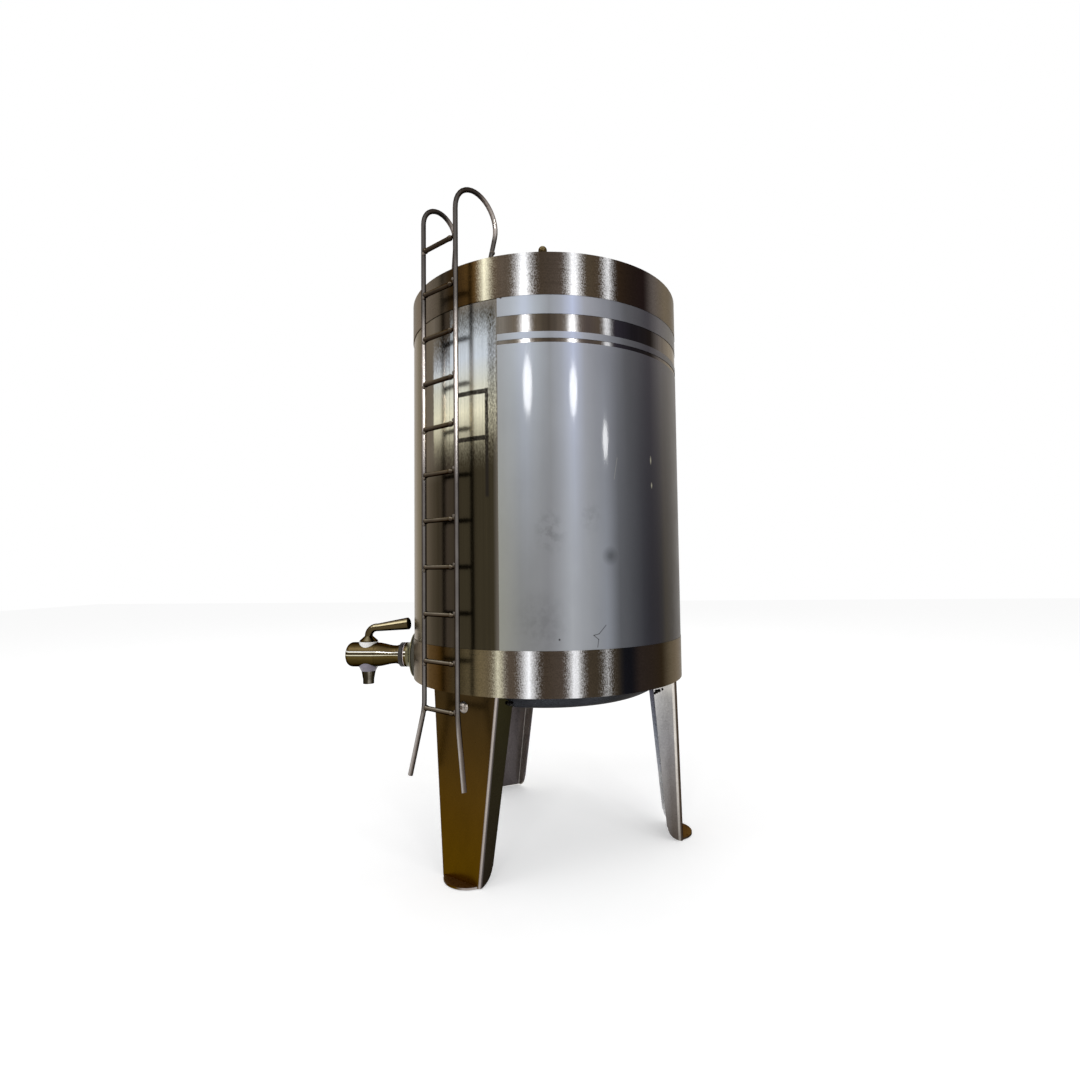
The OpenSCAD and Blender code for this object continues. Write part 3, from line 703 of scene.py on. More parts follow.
@dataclass(frozen=True)
class FilmFinish:
    """Satin grey film with painted light and shade: pale beside the ladder, dark round
    the back and lighter towards the top, with painted highlight stripes.
    """

    # Heights over which the painted light on the film rises.
    low_to_high: Span = (0.19, 0.44)
    coat_starts: Span = (-178.0, -120.0)
    coat_ends: Span = (121.0, 137.0)
    pale_scratch: tuple[Span, ...] = ((122.0, 0.3300), (120.6, 0.3130))
    scratch_width: float = 0.0005

    def make(self) -> Material:
        """Build the material.

        Returns:
            The material.
        """
        g = Graph("satin_film")
        cloud = g.noise((45.0, 45.0, 30.0), 3.0, 0.5)
        fine = g.noise(500.0, 2.0, 0.5)
        wave = g.noise((90.0, 90.0, 6.0), 2.0, 0.5)
        worn = g.noise(160.0, 3.0, 0.6).rise(0.42, 0.62)
        # Painted light and shade: tones by the angle round the tank, lighter towards
        # the top.
        lift = g.z.rise(*self.low_to_high) ** 1.6
        base = g.mix(lift, g.around(FILM_LOW), g.around(FILM_HIGH))
        smudge = sum(
            g.spot(*spot) * (plain + worn * rubbed)
            for *spot, plain, rubbed in FILM_SMUDGES
        )
        dark = g.strokes(DARK_SCRATCH, self.scratch_width) * 0.45
        pale = g.strokes(self.pale_scratch, self.scratch_width) * 0.3
        level = swing(1.0, (cloud, 0.14), (wave, 0.12)) - smudge
        base = g.scaled(base, level)
        base = g.mix(((g.spots(FILM_SPECKS) + dark) * 2.0).clip(), base, INK)
        base = g.mix(((g.spots(FILM_NICKS) + pale) * 0.4).clip(), base, CREAM)
        turn = g.degrees()
        coat = turn.rise(*self.coat_starts) - turn.rise(*self.coat_ends)
        return g.finish(
            Base_Color=base,
            Roughness=swing(0.36, (cloud, 0.2)) + smudge * 0.3,
            Coat_Weight=coat * 0.5,
            Coat_Roughness=0.08,
            Specular_IOR_Level=0.05,
            Normal=g.bump(cloud + fine * 0.05, 0.1, 0.0004),
        )


@dataclass(frozen=True)
class Polished:
    """Polished steel with painted highlights and painted reflections set by the way it
    faces.
    """

    name: str
    direction: Place
    stops: Stops
    rough: float = 0.16

    def make(self) -> Material:
        """Build the material.

        Returns:
            The material.
        """
        g = Graph(self.name)
        grain = g.noise(Grain.BLASTED.value, 3.0, 0.6)
        cloud = g.noise(70.0, 3.0, 0.6)
        # Painted light: the colour follows how far the surface faces one direction.
        faced = g.towards(self.direction) * 0.5 + swing(0.5, (cloud, 0.02))
        level = swing(1.0, (grain, 0.25), (cloud, 0.5))
        return g.metal(
            g.scaled(g.ramp(faced, self.stops), level),
            swing(self.rough, (cloud, 0.12)),
            g.bump(grain, 0.05, 0.00003),
        )


# Painted light and shade across the rails, by the way each part faces.
WIRE_ACROSS: Stops = tones(
    (0.0, 104, 98, 90), (0.42, 52, 45, 40), (0.56, 46, 40, 36), (0.78, 56, 50, 46),
    (0.92, 78, 72, 68), (0.97, 98, 94, 90), (1.0, 104, 100, 98),
)


@dataclass(frozen=True)
class RailSteel:
    """Drawn wire with painted light and shade: a painted reflection of a window at its
    height, lighter tails, a darker hook and a painted glint inside the loop.
    """

    name: str
    angle: float
    # Strength of the painted window reflection, and where the painted light and shade
    # fall.
    window_reflection_gain: float
    tail_angle: float = 60.0
    tail_height: Span = (0.118, 0.136)
    window_height: Edges = (0.333, 0.437, 0.04)
    window_lower: Span = (0.345, 0.385)
    hook_height: Span = (0.47, 0.50)
    inside_radius: Span = (0.104, 0.112)
    glint_height: Edges = (0.527, 0.557, 0.012)

    def make(self) -> Material:
        """Build the material.

        Returns:
            The material.
        """
        g = Graph(self.name)
        grain = g.noise(Grain.BLASTED.value, 3.0, 0.6)
        cloud = g.noise((120.0, 120.0, 60.0), 3.0, 0.6)
        # Painted light and shade by the way the wire faces, turned for the splayed
        # tails.
        tail = 1.0 - g.z.rise(*self.tail_height)
        straight = g.towards(outward(self.angle))
        splayed = g.towards(outward(self.tail_angle))
        faced = straight + (splayed - straight) * tail
        base = g.ramp(faced * 0.5 + 0.5, WIRE_ACROSS)
        # Painted reflection of a window at its height, lighter tails, a darker hook and
        # a painted glint inside the loop.
        window = g.z.band(*self.window_height)
        window = window * (0.6 + g.z.rise(*self.window_lower) * 0.4)
        hook = g.z.rise(*self.hook_height)
        radius = (g.x * g.x + g.y * g.y) ** 0.5
        inside = 1.0 - radius.rise(*self.inside_radius)
        glint = inside * g.z.band(*self.glint_height)
        level = 1.0 + window * self.window_reflection_gain + tail * 1.6 - hook * 0.35
        level = (level + glint * 2.4) * swing(1.0, (grain, 0.15), (cloud, 0.8))
        return g.metal(
            g.scaled(base, level),
            swing(0.2, (cloud, 0.12)),
            g.bump(grain, 0.05, 0.00003),
        )


@dataclass(frozen=True)
class LegFinish:
    """Channel leg with painted light: painted reflections on its web and flanges,
    painted highlights and sheen along its bends, painted shade inside and a lighter top
    on its foot.
    """

    name: str
    angle: float
    # Painted reflection tones of the web, bends and sides, and the painted light on the
    # top of the foot.
    web: Stops
    inner_bend: Colour
    outer_bend: Colour
    near_side: Stops
    far_side: Stops
    tab: Colour
    near_sign: float = 1.0
    grit: float = 0.2
    mottle: float = 0.35
    # Where the painted highlight line and sheen lie, the painted shade inside, and the
    # heights of the painted light.
    line_depth: float = 0.0
    line_width: float = 0.002
    inside: Colour = UMBER
    sheen: Colour = shade(226, 226, 228)
    height: Span = (0.005, 0.15)
    sheen_depth: Span = (0.009, 0.024)
    line_fade: Span = (0.0, 0.075)
    tab_top: Span = (0.0026, 0.0034)

    def make(self) -> Material:
        """Build the material.

        Returns:
            The material.
        """
        g = Graph(self.name)
        grain = g.noise(Grain.BLASTED.value, 3.0, 0.7)
        cloud = g.noise((60.0, 60.0, 25.0), 3.0, 0.6)
        up = g.z.rise(*self.height)
        out = g.towards(outward(self.angle))
        middle = math.radians(self.angle)
        across = g.x * math.cos(middle) + g.y * math.sin(middle)
        near = (across * self.near_sign).rise(-0.002, 0.002)
        # Painted reflections: the web and each flange get their own tones, changing
        # with height.
        side = g.mix(near, g.ramp(up, self.far_side), g.ramp(up, self.near_side))
        base = g.mix(out.rise(0.86, 0.97), side, g.ramp(up, self.web))
        # Painted sheen on the near flange, and painted light and shade along its bends.
        if self.line_depth:
            reach = LEG_TOP_RADIUS + (LEG_TOP_HEIGHT - g.z) * LEG_SPREAD
            depth = reach - g.x * math.sin(middle) + g.y * math.cos(middle)
            flat = near * (1.0 - out.rise(0.3, 0.6))
            sheen = depth.rise(*self.sheen_depth) * flat * 0.36
            base = g.mix(sheen, base, self.sheen)
            base = g.mix(out.band(0.04, 0.93, 0.06), base, self.outer_bend)
            end = self.line_depth + self.line_width
            line = depth.band(self.line_depth, end, 0.0006) * flat
            line = line * (0.35 + g.z.rise(*self.line_fade) * 0.65)
            base = g.mix(line, base, self.inner_bend)
        else:
            # Painted light and shade along the bends.
            base = g.mix(out.band(0.08, 0.5, 0.1), base, self.inner_bend)
            base = g.mix(out.band(0.5, 0.93, 0.1), base, self.outer_bend)
        # Painted shade on the faces turned inward.
        base = g.mix((-1.0 * out).rise(0.5, 0.9), base, self.inside)
        # Painted light: faces that look up at the foot are lighter.
        low = (1.0 - g.z.rise(*self.tab_top)) * g.towards(UP).rise(0.6, 0.8)
        base = g.mix(low, base, self.tab)
        level = swing(1.0, (grain, self.grit), (cloud, self.mottle))
        return g.metal(
            g.scaled(base, level),
            swing(0.3, (grain, 0.2)),
            g.bump(grain, 0.3, 0.00008),
        )


@dataclass(frozen=True)
class Sheet:
    """Plain rolled sheet, cloudy and a little scratched."""

    name: str
    dark: Colour
    light: Colour
    rough: float = 0.35
    edge: Colour = (1.0, 1.0, 1.0)

    def make(self) -> Material:
        """Build the material.

        Returns:
            The material.
        """
        g = Graph(self.name)
        cloud = g.noise(24.0, 4.0, 0.6)
        grain = g.noise(Grain.BLASTED.value, 2.0, 0.6)
        base = g.mix(cloud, self.dark, self.light)
        return g.metal(
            g.scaled(base, swing(1.0, (grain, 0.4))),
            swing(self.rough, (cloud, 0.2)),
            g.bump(grain, 0.15, 0.00004),
            self.edge,
        )


@dataclass(frozen=True)
class Moulded:
    """Moulded plastic or rubber with a fine skin."""

    name: str
    colour: Colour
    rough: float = 0.4
    vary: float = 0.32

    def make(self) -> Material:
        """Build the material.

        Returns:
            The material.
        """
        g = Graph(self.name)
        cloud = g.noise(180.0, 3.0, 0.6)
        skin = g.noise(1500.0, 2.0, 0.5)
        return g.finish(
            Base_Color=g.scaled(self.colour, swing(1.0, (cloud, self.vary))),
            Roughness=swing(self.rough, (cloud, 0.15)),
            Normal=g.bump(skin, 0.12, 0.00005),
        )


Finish = Union[
    BandSteel, PanelSteel, FilmFinish, Polished, RailSteel, LegFinish, Sheet, Moulded
]


def turned_bar(name: str, profile: Sequence[Span], sides: int) -> Piece:
    """Model a round bar along Z from its radii.

    Args:
        name: the bar's name.
        profile: height and radius of each ring, from the lowest up.
        sides: facets round the bar.

    Returns:
        The bar, selected, with closed ends.
    """
    bpy.ops.object.select_all(action="DESELECT")
    first, radius = profile[0]
    bpy.ops.mesh.primitive_circle_add(
        vertices=sides, radius=radius, fill_type="NGON", location=(0.0, 0.0, first)
    )
    bar = bpy.context.object
    bar.name = name
    bpy.ops.object.mode_set(mode="EDIT")
    bpy.ops.mesh.select_all(action="SELECT")
    for (low, before), (high, after) in zip(profile, profile[1:]):
        bpy.ops.mesh.extrude_region_move(
            TRANSFORM_OT_translate={"value": (0.0, 0.0, high - low)}
        )
        grown = after / before
        bpy.ops.transform.resize(
            value=(grown, grown, 1.0), center_override=(0.0, 0.0, high)
        )
    bpy.ops.mesh.select_all(action="SELECT")
    bpy.ops.mesh.normals_make_consistent(inside=False)
    bpy.ops.object.mode_set(mode="OBJECT")
    bpy.ops.object.transform_apply(location=True, rotation=True, scale=True)
    bpy.ops.object.shade_smooth_by_angle(angle=math.radians(BAR_SMOOTH))
    return bar


def lump(name: str) -> Piece:
    """Model a drop of weld metal, one metre in radius, for smaller copies.

    Args:
        name: the drop's name.

    Returns:
        The drop.
    """
    bpy.ops.object.select_all(action="DESELECT")
    bpy.ops.mesh.primitive_ico_sphere_add(subdivisions=3, radius=1.0)
    drop = bpy.context.object
    drop.name = name
    bpy.ops.object.mode_set(mode="EDIT")
    bpy.ops.mesh.select_all(action="SELECT")
    bpy.ops.transform.vertex_random(offset=0.22, uniform=0.4, normal=0.6, seed=3)
    bpy.ops.mesh.vertices_smooth(factor=0.6, repeat=2)
    bpy.ops.transform.resize(value=(1.15, 1.0, 1.05))
    bpy.ops.mesh.normals_make_consistent(inside=False)
    bpy.ops.object.mode_set(mode="OBJECT")
    bpy.ops.object.shade_smooth_by_angle(angle=math.radians(DROP_SMOOTH))
    return drop


def repeated(pattern: Piece, places: Sequence[Matrix], name: str) -> Piece:
    """Put a copy of a piece at each place, join the copies and drop the piece.

    Args:
        pattern: the piece to copy.
        places: where the copies go.
        name: the result's name.

    Returns:
        The joined copies, with their places in the mesh.
    """
    copies = [bpy.data.objects.new(name, pattern.data.copy()) for _ in places]
    bpy.data.objects.remove(pattern)
    bpy.ops.object.select_all(action="DESELECT")
    for copy, place in zip(copies, places):
        bpy.context.scene.collection.objects.link(copy)
        copy.data.transform(place)
        copy.select_set(True)
    bpy.context.view_layer.objects.active = copies[0]
    bpy.ops.object.join()
    whole = bpy.context.object
    whole.name = whole.data.name = name
    return whole


@dataclass
class Group:
    """Solids and pieces that are dressed together.

    Attributes:
    """

    frame: dict[str, Any]

    def dress(self, finish: Finish, *nodes: str) -> None:
        """Give carried-over solids a finish.

        Args:
            finish: the finish.
            nodes: names of the solids.
        """
        material = finish.make()
        for node in nodes:
            piece = self.frame["nodes"][node]
            piece.data.materials.clear()
            piece.data.materials.append(material)
            for face in piece.data.polygons:
                face.material_index = 0
            LOG.info("%s wears %s", node, material.name)

    def add(self, piece: Piece, finish: Finish, slot: str) -> None:
        """Give a new piece its finish, and let it ride on the tank.

        Args:
            piece: the piece.
            finish: its finish.
            slot: the record's material slot; not used.
        """
        piece.data.materials.clear()
        piece.data.materials.append(finish.make())
        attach(piece, "tank")
        LOG.info("%s rides on the tank", piece.name)


@dataclass
class PhotoCamera:
    """Camera at the place from which the tank was photographed."""

    place: Place = (0.5813, 0.0509, 0.2433)
    heading: float = 95.57
    pitch: float = 2.76
    roll: float = -0.64
    focal_pixels: float = 605.2
    photo_pixels: float = 1080.0
    sensor: float = 36.0
    nearest: float = 0.01

    def make(self) -> None:
        """Add the camera and make it the scene's own."""
        turn = (
            Matrix.Rotation(math.radians(self.heading), 3, "Z")
            @ Matrix.Rotation(math.radians(90.0 + self.pitch), 3, "X")
            @ Matrix.Rotation(math.radians(self.roll), 3, "Z")
        )
        bpy.ops.object.camera_add(location=self.place)
        camera = bpy.context.object
        camera.rotation_euler = turn.to_euler()
        camera.data.lens = self.focal_pixels / self.photo_pixels * self.sensor
        camera.data.sensor_width = self.sensor
        camera.data.clip_start = self.nearest
        bpy.context.scene.camera = camera


@dataclass
class Studio:
    """Pale floor, white surroundings and soft lamps."""

    floor_size: float = 8.0
    floor_drop: float = 0.0006
    world_light: float = 0.72
    glow: float = 0.36
    aim: Place = (0.0, 0.0, 0.28)
    softboxes: tuple[tuple[Place, float, float], ...] = (
        ((0.9, -1.1, 1.6), 0.8, 4.0),
        ((1.2, 1.3, 1.5), 0.9, 2.5),
        ((-1.3, -0.2, 1.6), 0.9, 3.0),
    )
    spots: tuple[tuple[Place, float], ...] = (
        ((1.26, -0.17, 0.738), 0.15),
        ((1.131, 0.583, 0.723), 0.13),
        ((0.781, 1.021, 0.592), 0.1),
    )
    spot_glow: float = 72.0

    def make(self) -> None:
        """Add the floor, the world and the lamps."""
        self._floor()
        self._world()
        for number, (place, size, power) in enumerate(self.softboxes):
            self._lamp(f"softbox_{number}", "SQUARE", place, size, power)
        for number, (place, size) in enumerate(self.spots):
            power = self.spot_glow * size**2
            self._lamp(f"spot_{number}", "DISK", place, size, power)

    @staticmethod
    def _seen(tree: bpy.types.NodeTree) -> bpy.types.NodeSocket:
        """Mark what the camera sees directly, mirrored or through glass.

        Args:
            tree: the nodes to add to.

        Returns:
            1 where it is seen, else 0.
        """
        path = tree.nodes.new("ShaderNodeLightPath")
        seen = path.outputs["Is Camera Ray"]
        for name in ("Is Glossy Ray", "Is Transmission Ray"):
            both = tree.nodes.new("ShaderNodeMath")
            both.operation = "MAXIMUM"
            tree.links.new(seen, both.inputs[0])
            tree.links.new(path.outputs[name], both.inputs[1])
            seen = both.outputs[0]
        return seen

    def _floor(self) -> None:
        """Add a floor that looks white and keeps the tank's shadow."""
        bpy.ops.mesh.primitive_plane_add(
            size=self.floor_size, location=(0.0, 0.0, -self.floor_drop)
        )
        floor = bpy.context.object
        floor.name = "floor"
        g = Graph("pale_floor")
        speck = g.noise(30.0)
        colour = g.mix(speck, (0.80, 0.80, 0.80), (0.84, 0.84, 0.84))
        lift = Socket(g, self._seen(g.tree)) * self.glow
        floor.data.materials.append(
            g.finish(
                Base_Color=colour,
                Roughness=1.0,
                Specular_IOR_Level=0.0,
                Emission_Color=g.mix(lift, (0.0, 0.0, 0.0), (1.0, 1.0, 1.0)),
                Emission_Strength=1.0,
            )
        )

    def _world(self) -> None:
        """Make surroundings that show white and light the tank softly."""
        world = bpy.data.worlds.new("surroundings")
        bpy.context.scene.world = world
        world.use_nodes = True
        tree = world.node_tree
        tree.nodes.clear()
        choice = tree.nodes.new("ShaderNodeMixShader")
        tree.links.new(self._seen(tree), choice.inputs[0])
        for place, strength in enumerate((self.world_light, 1.0), start=1):
            back = tree.nodes.new("ShaderNodeBackground")
            back.inputs["Color"].default_value = (1.0, 1.0, 1.0, 1.0)
            back.inputs["Strength"].default_value = strength
            tree.links.new(back.outputs[0], choice.inputs[place])
        end = tree.nodes.new("ShaderNodeOutputWorld")
        tree.links.new(choice.outputs[0], end.inputs["Surface"])

    def _lamp(
        self, name: str, shape: str, place: Place, size: float, power: float
    ) -> None:
        """Add a lamp that faces the tank.

        Args:
            name: the lamp's name.
            shape: SQUARE or DISK.
            place: its centre.
            size: its width.
            power: its power in watts.
        """
        aim = Vector(self.aim) - Vector(place)
        bpy.ops.object.light_add(type="AREA", location=place)
        lamp = bpy.context.object
        lamp.name = name
        lamp.data.shape = shape
        lamp.data.size = size
        lamp.data.energy = power
        lamp.rotation_euler = aim.to_track_quat("-Z", "Y").to_euler()


# Painted highlights and painted reflection tones of the top and bottom bands.
TOP_HIGHLIGHTS: PaintedHighlights = (
    (73.4, 4.6, 0.95), (87.9, 5.6, 1.0), (106.0, 4.9, 0.95), (119.2, 4.2, 0.75),
)
TOP_FRONT: Stops = tones(
    (30.0, 116, 106, 96), (42.0, 104, 96, 88), (50.0, 84, 76, 66), (57.0, 44, 33, 20),
    (63.0, 54, 38, 18), (68.5, 72, 52, 24),
)
TOP_REAR: Stops = tones(
    (121.0, 44, 33, 22), (130.0, 31, 23, 20), (137.0, 25, 18, 22), (142.5, 88, 82, 80),
    (152.0, 108, 99, 88),
)
LOW_FRONT: Stops = tones(
    (30.0, 140, 130, 118), (35.0, 136, 126, 112), (43.0, 88, 68, 44),
    (51.0, 60, 40, 15), (61.5, 58, 50, 33), (70.6, 100, 88, 64),
)
LOW_REAR: Stops = tones(
    (120.0, 52, 45, 36), (123.0, 18, 18, 22), (127.0, 16, 16, 20), (131.0, 38, 31, 28),
    (144.0, 37, 30, 25), (151.0, 88, 80, 68), (159.0, 104, 94, 82),
)
LOW_HIGHLIGHTS: PaintedHighlights = (
    (77.6, 3.9, 0.85), (88.4, 5.1, 1.0), (104.7, 4.6, 1.0), (116.5, 3.4, 0.55),
)


@dataclass
class Wall(Group):
    """Side wall, bands, film, bottom, roof and hatch collar."""

    def build(self) -> None:
        """Dress the drum."""
        # The bands, the bare wall and the film carry painted reflections, painted
        # highlights and painted shade.
        top = BandSteel("top_band_steel", TOP_HIGHLIGHTS, TOP_FRONT, TOP_REAR)
        low = BandSteel("low_band_steel", LOW_HIGHLIGHTS, LOW_FRONT, LOW_REAR)
        self.dress(top, "top_band")
        self.dress(low, "bottom_band")
        self.dress(PanelSteel(), "tank_shell")
        self.dress(FilmFinish(), "side_film")
        roof = Sheet("roof_steel", shade(150, 150, 152), shade(196, 196, 198))
        self.dress(roof, "tank_roof", "hatch_collar", "lid")
        dull = Sheet(
            "bottom_steel", shade(84, 88, 94), shade(118, 122, 130), 0.4, EDGE_TINT
        )
        self.dress(dull, "tank_bottom", "leg_lugs")


# Painted reflections and painted light on the legs, from the foot up: the warm web, the
# blasted near flanges lighter towards the top, and the lilac and pale far flanges.
WARM_WEB_REFLECTION: Stops = tones((0.0, 84, 60, 8), (0.35, 76, 54, 16), (1.0, 56, 44, 26))
BLASTED: Stops = tones(
    (0.0, 88, 80, 74), (0.3, 112, 107, 104), (0.6, 130, 128, 129),
    (0.85, 150, 148, 146), (1.0, 208, 204, 196),
)
LILAC: Stops = tones(
    (0.0, 255, 255, 255), (0.25, 246, 248, 255), (0.55, 190, 196, 210),
    (1.0, 112, 98, 126),
)
PALE: Stops = tones((0.0, 244, 240, 230), (1.0, 226, 221, 208))


@dataclass
class Legs(Group):
    """Channel legs, their screws and the spatter of their welds."""

    right_angle: float = 60.0
    left_angle: float = -60.0
    back_angle: float = 180.0
    flange_x: float = 0.0345
    flatness: float = 0.6
    drops: Rows = (
        (60.0, 0.0132, 0.0070, 0.0016), (60.0, 0.0158, 0.0080, 0.0019),
        (60.0, 0.0182, 0.0088, 0.0015), (60.0, 0.0198, 0.0100, 0.0010),
        (180.0, 0.0128, 0.0098, 0.0010), (180.0, 0.0156, 0.0110, 0.0014),
        (180.0, 0.0180, 0.0118, 0.0017), (180.0, 0.0196, 0.0134, 0.0010),
        (-60.0, 0.0150, 0.0030, 0.0018), (-60.0, 0.0180, 0.0040, 0.0014),
    )

    def _spatter(self) -> Piece:
        """Model the drops that the welds left at the tops of the flanges.

        Returns:
            All drops as one piece.
        """
        places = []
        for angle, inward, below, radius in self.drops:
            side = -1.0 if angle == self.back_angle else 1.0
            x = side * self.flange_x
            y = inward - LEG_TOP_RADIUS - below * LEG_SPREAD
            spot = Matrix.Translation((x, y, LEG_TOP_HEIGHT - below))
            stand = Matrix.Rotation(math.radians(angle), 4, "Z")
            size = Matrix.Diagonal((radius * self.flatness, radius, radius, 1.0))
            places.append(stand @ spot @ size)
        return repeated(lump("spatter_pattern"), places, "leg_spatter")

    def build(self) -> None:
        """Dress the legs and their fasteners."""
        # Painted light on the warm leg: painted reflections on its web and sides,
        # painted light and shade along its bends and a lighter top on its foot.
        warm = LegFinish(
            name="warm_leg_steel",
            angle=self.right_angle,
            web=WARM_WEB_REFLECTION,
            inner_bend=shade(84, 78, 76),
            outer_bend=shade(164, 155, 150),
            near_side=tones((0.0, 54, 50, 44), (1.0, 50, 48, 34)),
            far_side=tones((0.0, 58, 52, 52), (1.0, 44, 38, 30)),
            tab=shade(170, 142, 96),
        )
        self.dress(warm, "leg_right")
        soot = Sheet("weld_spatter", shade(14, 12, 12), shade(34, 30, 28), 0.5)
        self.add(self._spatter(), soot, "leg_steel")
        # Painted light on the grey legs: a painted highlight along the inner bend,
        # painted reflections on the flanges and painted shade inside.
        for node, angle, sign, far_side, inside in (
            ("leg_back", self.back_angle, -1.0, LILAC, UMBER),
            ("leg_left", self.left_angle, 1.0, PALE, shade(90, 84, 84)),
        ):
            grey = LegFinish(
                name=f"blasted_{node}",
                angle=angle,
                web=tones((0.0, 84, 72, 60), (1.0, 84, 76, 70)),
                inner_bend=shade(204, 198, 190),
                outer_bend=shade(70, 60, 52),
                near_side=BLASTED,
                far_side=far_side,
                tab=shade(110, 92, 66),
                near_sign=sign,
                grit=0.72,
                mottle=0.9,
                line_depth=0.0024,
                inside=inside,
            )
            self.dress(grey, node)
        bolt = Sheet("bright_fastener", shade(112, 104, 96), shade(176, 168, 160), 0.28)
        self.dress(bolt, "leg_screws", "leg_washers", "leg_nuts")


# Painted light across the rungs: darker away from the light, with a painted highlight
# along the side that faces up and out.
RUNG: Stops = tones(
    (0.0, 60, 50, 40), (0.5, 38, 30, 24), (0.75, 62, 54, 45), (0.9, 84, 75, 64),
    (0.97, 104, 95, 82), (0.99, 142, 134, 120), (1.0, 150, 142, 128),
)


@dataclass
class Ladder(Group):
    """Wire ladder that hooks over the rim, with its welds."""

    angle: float = 56.0
    centre_radius: float = 0.1338
    rail_gap: float = 0.0389
    rung_count: int = 11
    rung_pitch: float = 0.03755
    rung_low: float = 0.1331
    rung_sides: int = 24
    rung_twist: float = 37.0
    weld_twist: float = 53.0
    weld_inset: float = 0.0014
    rung_profile: tuple[Span, ...] = (
        (-0.0185, 0.0018), (-0.0176, 0.0023), (-0.0168, 0.0024), (-0.0158, 0.0021),
        (-0.0150, 0.0019), (0.0106, 0.0019), (0.0113, 0.0020), (0.0122, 0.0022),
        (0.0134, 0.0022), (0.0143, 0.0019), (0.0150, 0.0014), (0.0162, 0.0013),
        (0.0170, 0.0017), (0.0178, 0.0021), (0.0186, 0.0020),
    )
    rung_welds: Rows = (
        (-1.0, 0.0012, -0.0025, 0.0014, 1.3),
        (1.0, 0.0013, 0.0021, 0.0013, 1.2),
    )
    roof_welds: tuple[tuple[Place, float, float], ...] = (
        ((0.01945, -0.0961, 0.4982), 0.0040, 0.55),
        ((0.0190, -0.0955, 0.5003), 0.0026, 1.1),
        ((0.0197, -0.0921, 0.5110), 0.0025, 0.9),
        ((-0.01945, -0.1009, 0.4964), 0.0040, 0.55),
        ((-0.0190, -0.1004, 0.4986), 0.0026, 1.1),
    )

    def _stand(self) -> Matrix:
        """Return the turn that carries the ladder's own frame round the tank."""
        return Matrix.Rotation(math.radians(self.angle), 4, "Z")

    def _rungs(self) -> Piece:
        """Model the rungs with the beads and necks of their welds.

        Returns:
            All rungs as one piece.
        """
        pattern = turned_bar("rung_pattern", self.rung_profile, self.rung_sides)
        lay = Matrix.Rotation(math.radians(90.0), 4, "Y")
        places = []
        for i in range(self.rung_count):
            spot = (0.0, -self.centre_radius, self.rung_low + i * self.rung_pitch)
            twist = Matrix.Rotation(math.radians(self.rung_twist * i), 4, "X")
            places.append(self._stand() @ Matrix.Translation(spot) @ twist @ lay)
        return repeated(pattern, places, "welded_rungs")

    def _welds(self) -> Piece:
        """Model the drops beside the rungs and the welds of the loops on the roof.

        Returns:
            All welds as one piece.
        """
        half = self.rail_gap / 2 - self.weld_inset
        spots = list(self.roof_welds)
        for i in range(self.rung_count):
            rise = self.rung_low + i * self.rung_pitch
            for side, out, climb, radius, stretch in self.rung_welds:
                spot = (side * half, -self.centre_radius - out, rise + climb)
                spots.append((spot, radius, stretch))
        places = []
        for i, (spot, radius, stretch) in enumerate(spots):
            turn = Matrix.Rotation(math.radians(self.weld_twist * i), 4, "Z")
            size = Matrix.Diagonal((radius, radius, radius * stretch, 1.0))
            places.append(self._stand() @ Matrix.Translation(spot) @ turn @ size)
        return repeated(lump("weld_pattern"), places, "ladder_welds")

    def build(self) -> None:
        """Dress the rails and build the rungs."""
        # The rails carry a painted window reflection; rails and rungs carry painted
        # light, shade and highlights.
        left = RailSteel("left_rail_steel", 102.0, 4.2)
        right = RailSteel("right_rail_steel", 104.0, 3.4)
        self.dress(left, "ladder_rail_left")
        self.dress(right, "ladder_rail_right")
        rung = Polished("rung_steel", outward(56.0, 48.0), RUNG)
        rungs = self._rungs()
        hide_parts("ladder_rungs")
        self.add(rungs, rung, "wire_steel")
        weld = Sheet("weld_metal", shade(62, 54, 46), shade(112, 104, 96), 0.3)
        self.add(self._welds(), weld, "wire_steel")


# Painted light on the knob: dark, with a painted highlight on the side that faces up
# and out.
KNOB: Stops = tones(
    (0.0, 40, 32, 22), (0.7, 66, 54, 34), (0.9, 104, 90, 62), (0.97, 150, 138, 110),
    (1.0, 170, 160, 134),
)


@dataclass
class Lid(Group):
    """Lid's gasket and knob."""

    def build(self) -> None:
        """Dress the gasket, the knob and its fasteners."""
        gasket = Moulded("gasket_rubber", shade(228, 226, 220))
        self.dress(gasket, "lid_gasket")
        ball = Polished("knob_steel", outward(95.0, 50.0), KNOB)
        self.dress(ball, "lid_knob")
        bolt = Sheet("knob_fastener", shade(150, 146, 140), shade(200, 196, 190), 0.2)
        self.dress(bolt, "knob_washer", "knob_screw")


# Painted light on the tap's barrel by how far it faces up: brown tones with cream and
# white painted highlight lines.
BARREL: Stops = tones(
    (0.0, 60, 50, 30), (0.10, 48, 40, 22), (0.30, 62, 50, 24), (0.44, 84, 70, 36),
    (0.488, 68, 56, 32), (0.502, CREAM), (0.528, CREAM), (0.545, 60, 48, 30),
    (0.60, 50, 40, 25), (0.622, 66, 55, 36), (0.638, CREAM), (0.664, WHITE),
    (0.684, 84, 71, 46), (0.80, 92, 78, 50), (0.90, 70, 58, 34), (1.0, 60, 50, 32),
)
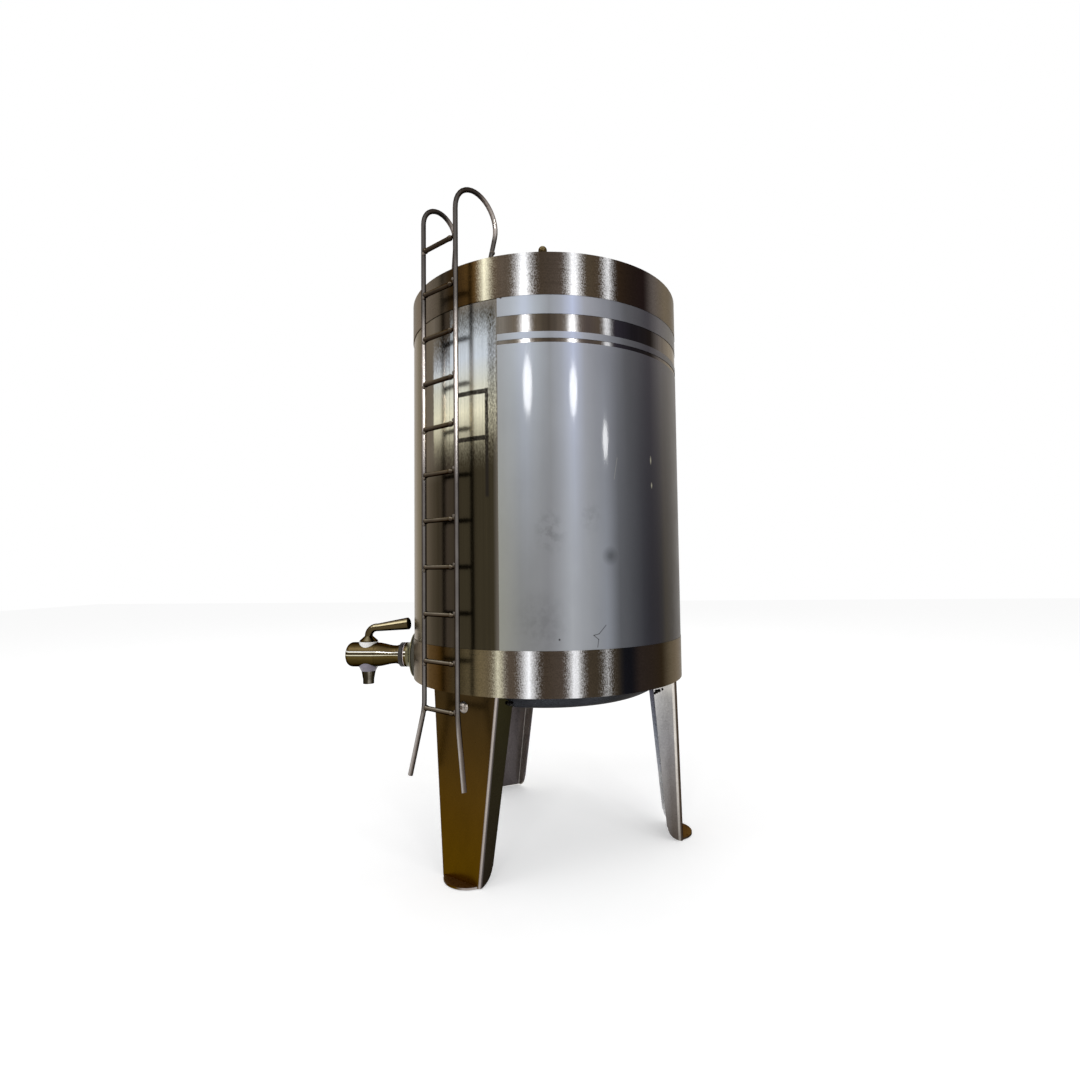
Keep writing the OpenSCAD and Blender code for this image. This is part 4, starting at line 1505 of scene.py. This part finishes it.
# Painted light on the lever: a painted highlight on the side that faces up and out.
LEVER: Stops = tones(
    (0.0, 80, 70, 48), (0.5, 56, 46, 28), (0.8, 72, 61, 40), (0.95, 70, 60, 40),
    (0.972, 92, 80, 56), (0.99, 152, 142, 114), (1.0, 168, 158, 130),
)
# Painted light on the nozzle: dark, with a painted highlight line on one side.
SPOUT: Stops = tones(
    (0.0, 50, 44, 32), (0.5, 46, 41, 29), (0.9, 42, 37, 26), (0.965, 54, 48, 36),
    (0.985, 112, 106, 94), (1.0, 140, 134, 124),
)


@dataclass
class Tap(Group):
    """Drinks tap with its seals."""

    def build(self) -> None:
        """Dress the tap."""
        # The polished tap parts carry painted highlights and painted reflections.
        steel = Polished("tap_steel", UP, BARREL, 0.34)
        self.dress(steel, "tap_collar", "tap_body", "tap_shank")
        lever = Polished("lever_steel", outward(95.0, 34.0), LEVER, 0.14)
        self.dress(lever, "tap_lever")
        spout = Polished("nozzle_steel", outward(120.0), SPOUT)
        self.dress(spout, "nozzle")
        flange = Sheet("flange_steel", shade(82, 78, 56), shade(116, 111, 86), 0.25)
        self.dress(flange, "tap_flange", "shank_washer", "shank_nut")
        self.dress(Moulded("dark_ring", shade(30, 24, 20), 0.5), "tap_ring")
        self.dress(Moulded("pale_washer", shade(206, 192, 196)), "tap_washer")
        white = Moulded("white_plastic", shade(244, 244, 242), 0.35, 0.12)
        self.dress(white, "lever_seat", "tap_plug")
        lilac = Moulded("lilac_plastic", shade(132, 126, 138), 0.35, 0.2)
        self.dress(lilac, "nozzle_ring")
        gaskets = ("wall_gasket_outer", "wall_gasket_inner")
        seal = Moulded("seal_rubber", shade(66, 62, 48), 0.6)
        self.dress(seal, *gaskets, "plug_seal_upper", "plug_seal_lower")


def main() -> None:
    """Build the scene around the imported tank."""
    logging.basicConfig(level=logging.INFO, format="%(name)s: %(message)s")
    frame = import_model()
    bpy.ops.object.select_all(action="DESELECT")
    bpy.context.scene.view_settings.view_transform = "Standard"
    PhotoCamera().make()
    Studio().make()
    for group in (Wall, Legs, Ladder, Lid, Tap):
        group(frame).build()


if __name__ == "__main__":
    main()
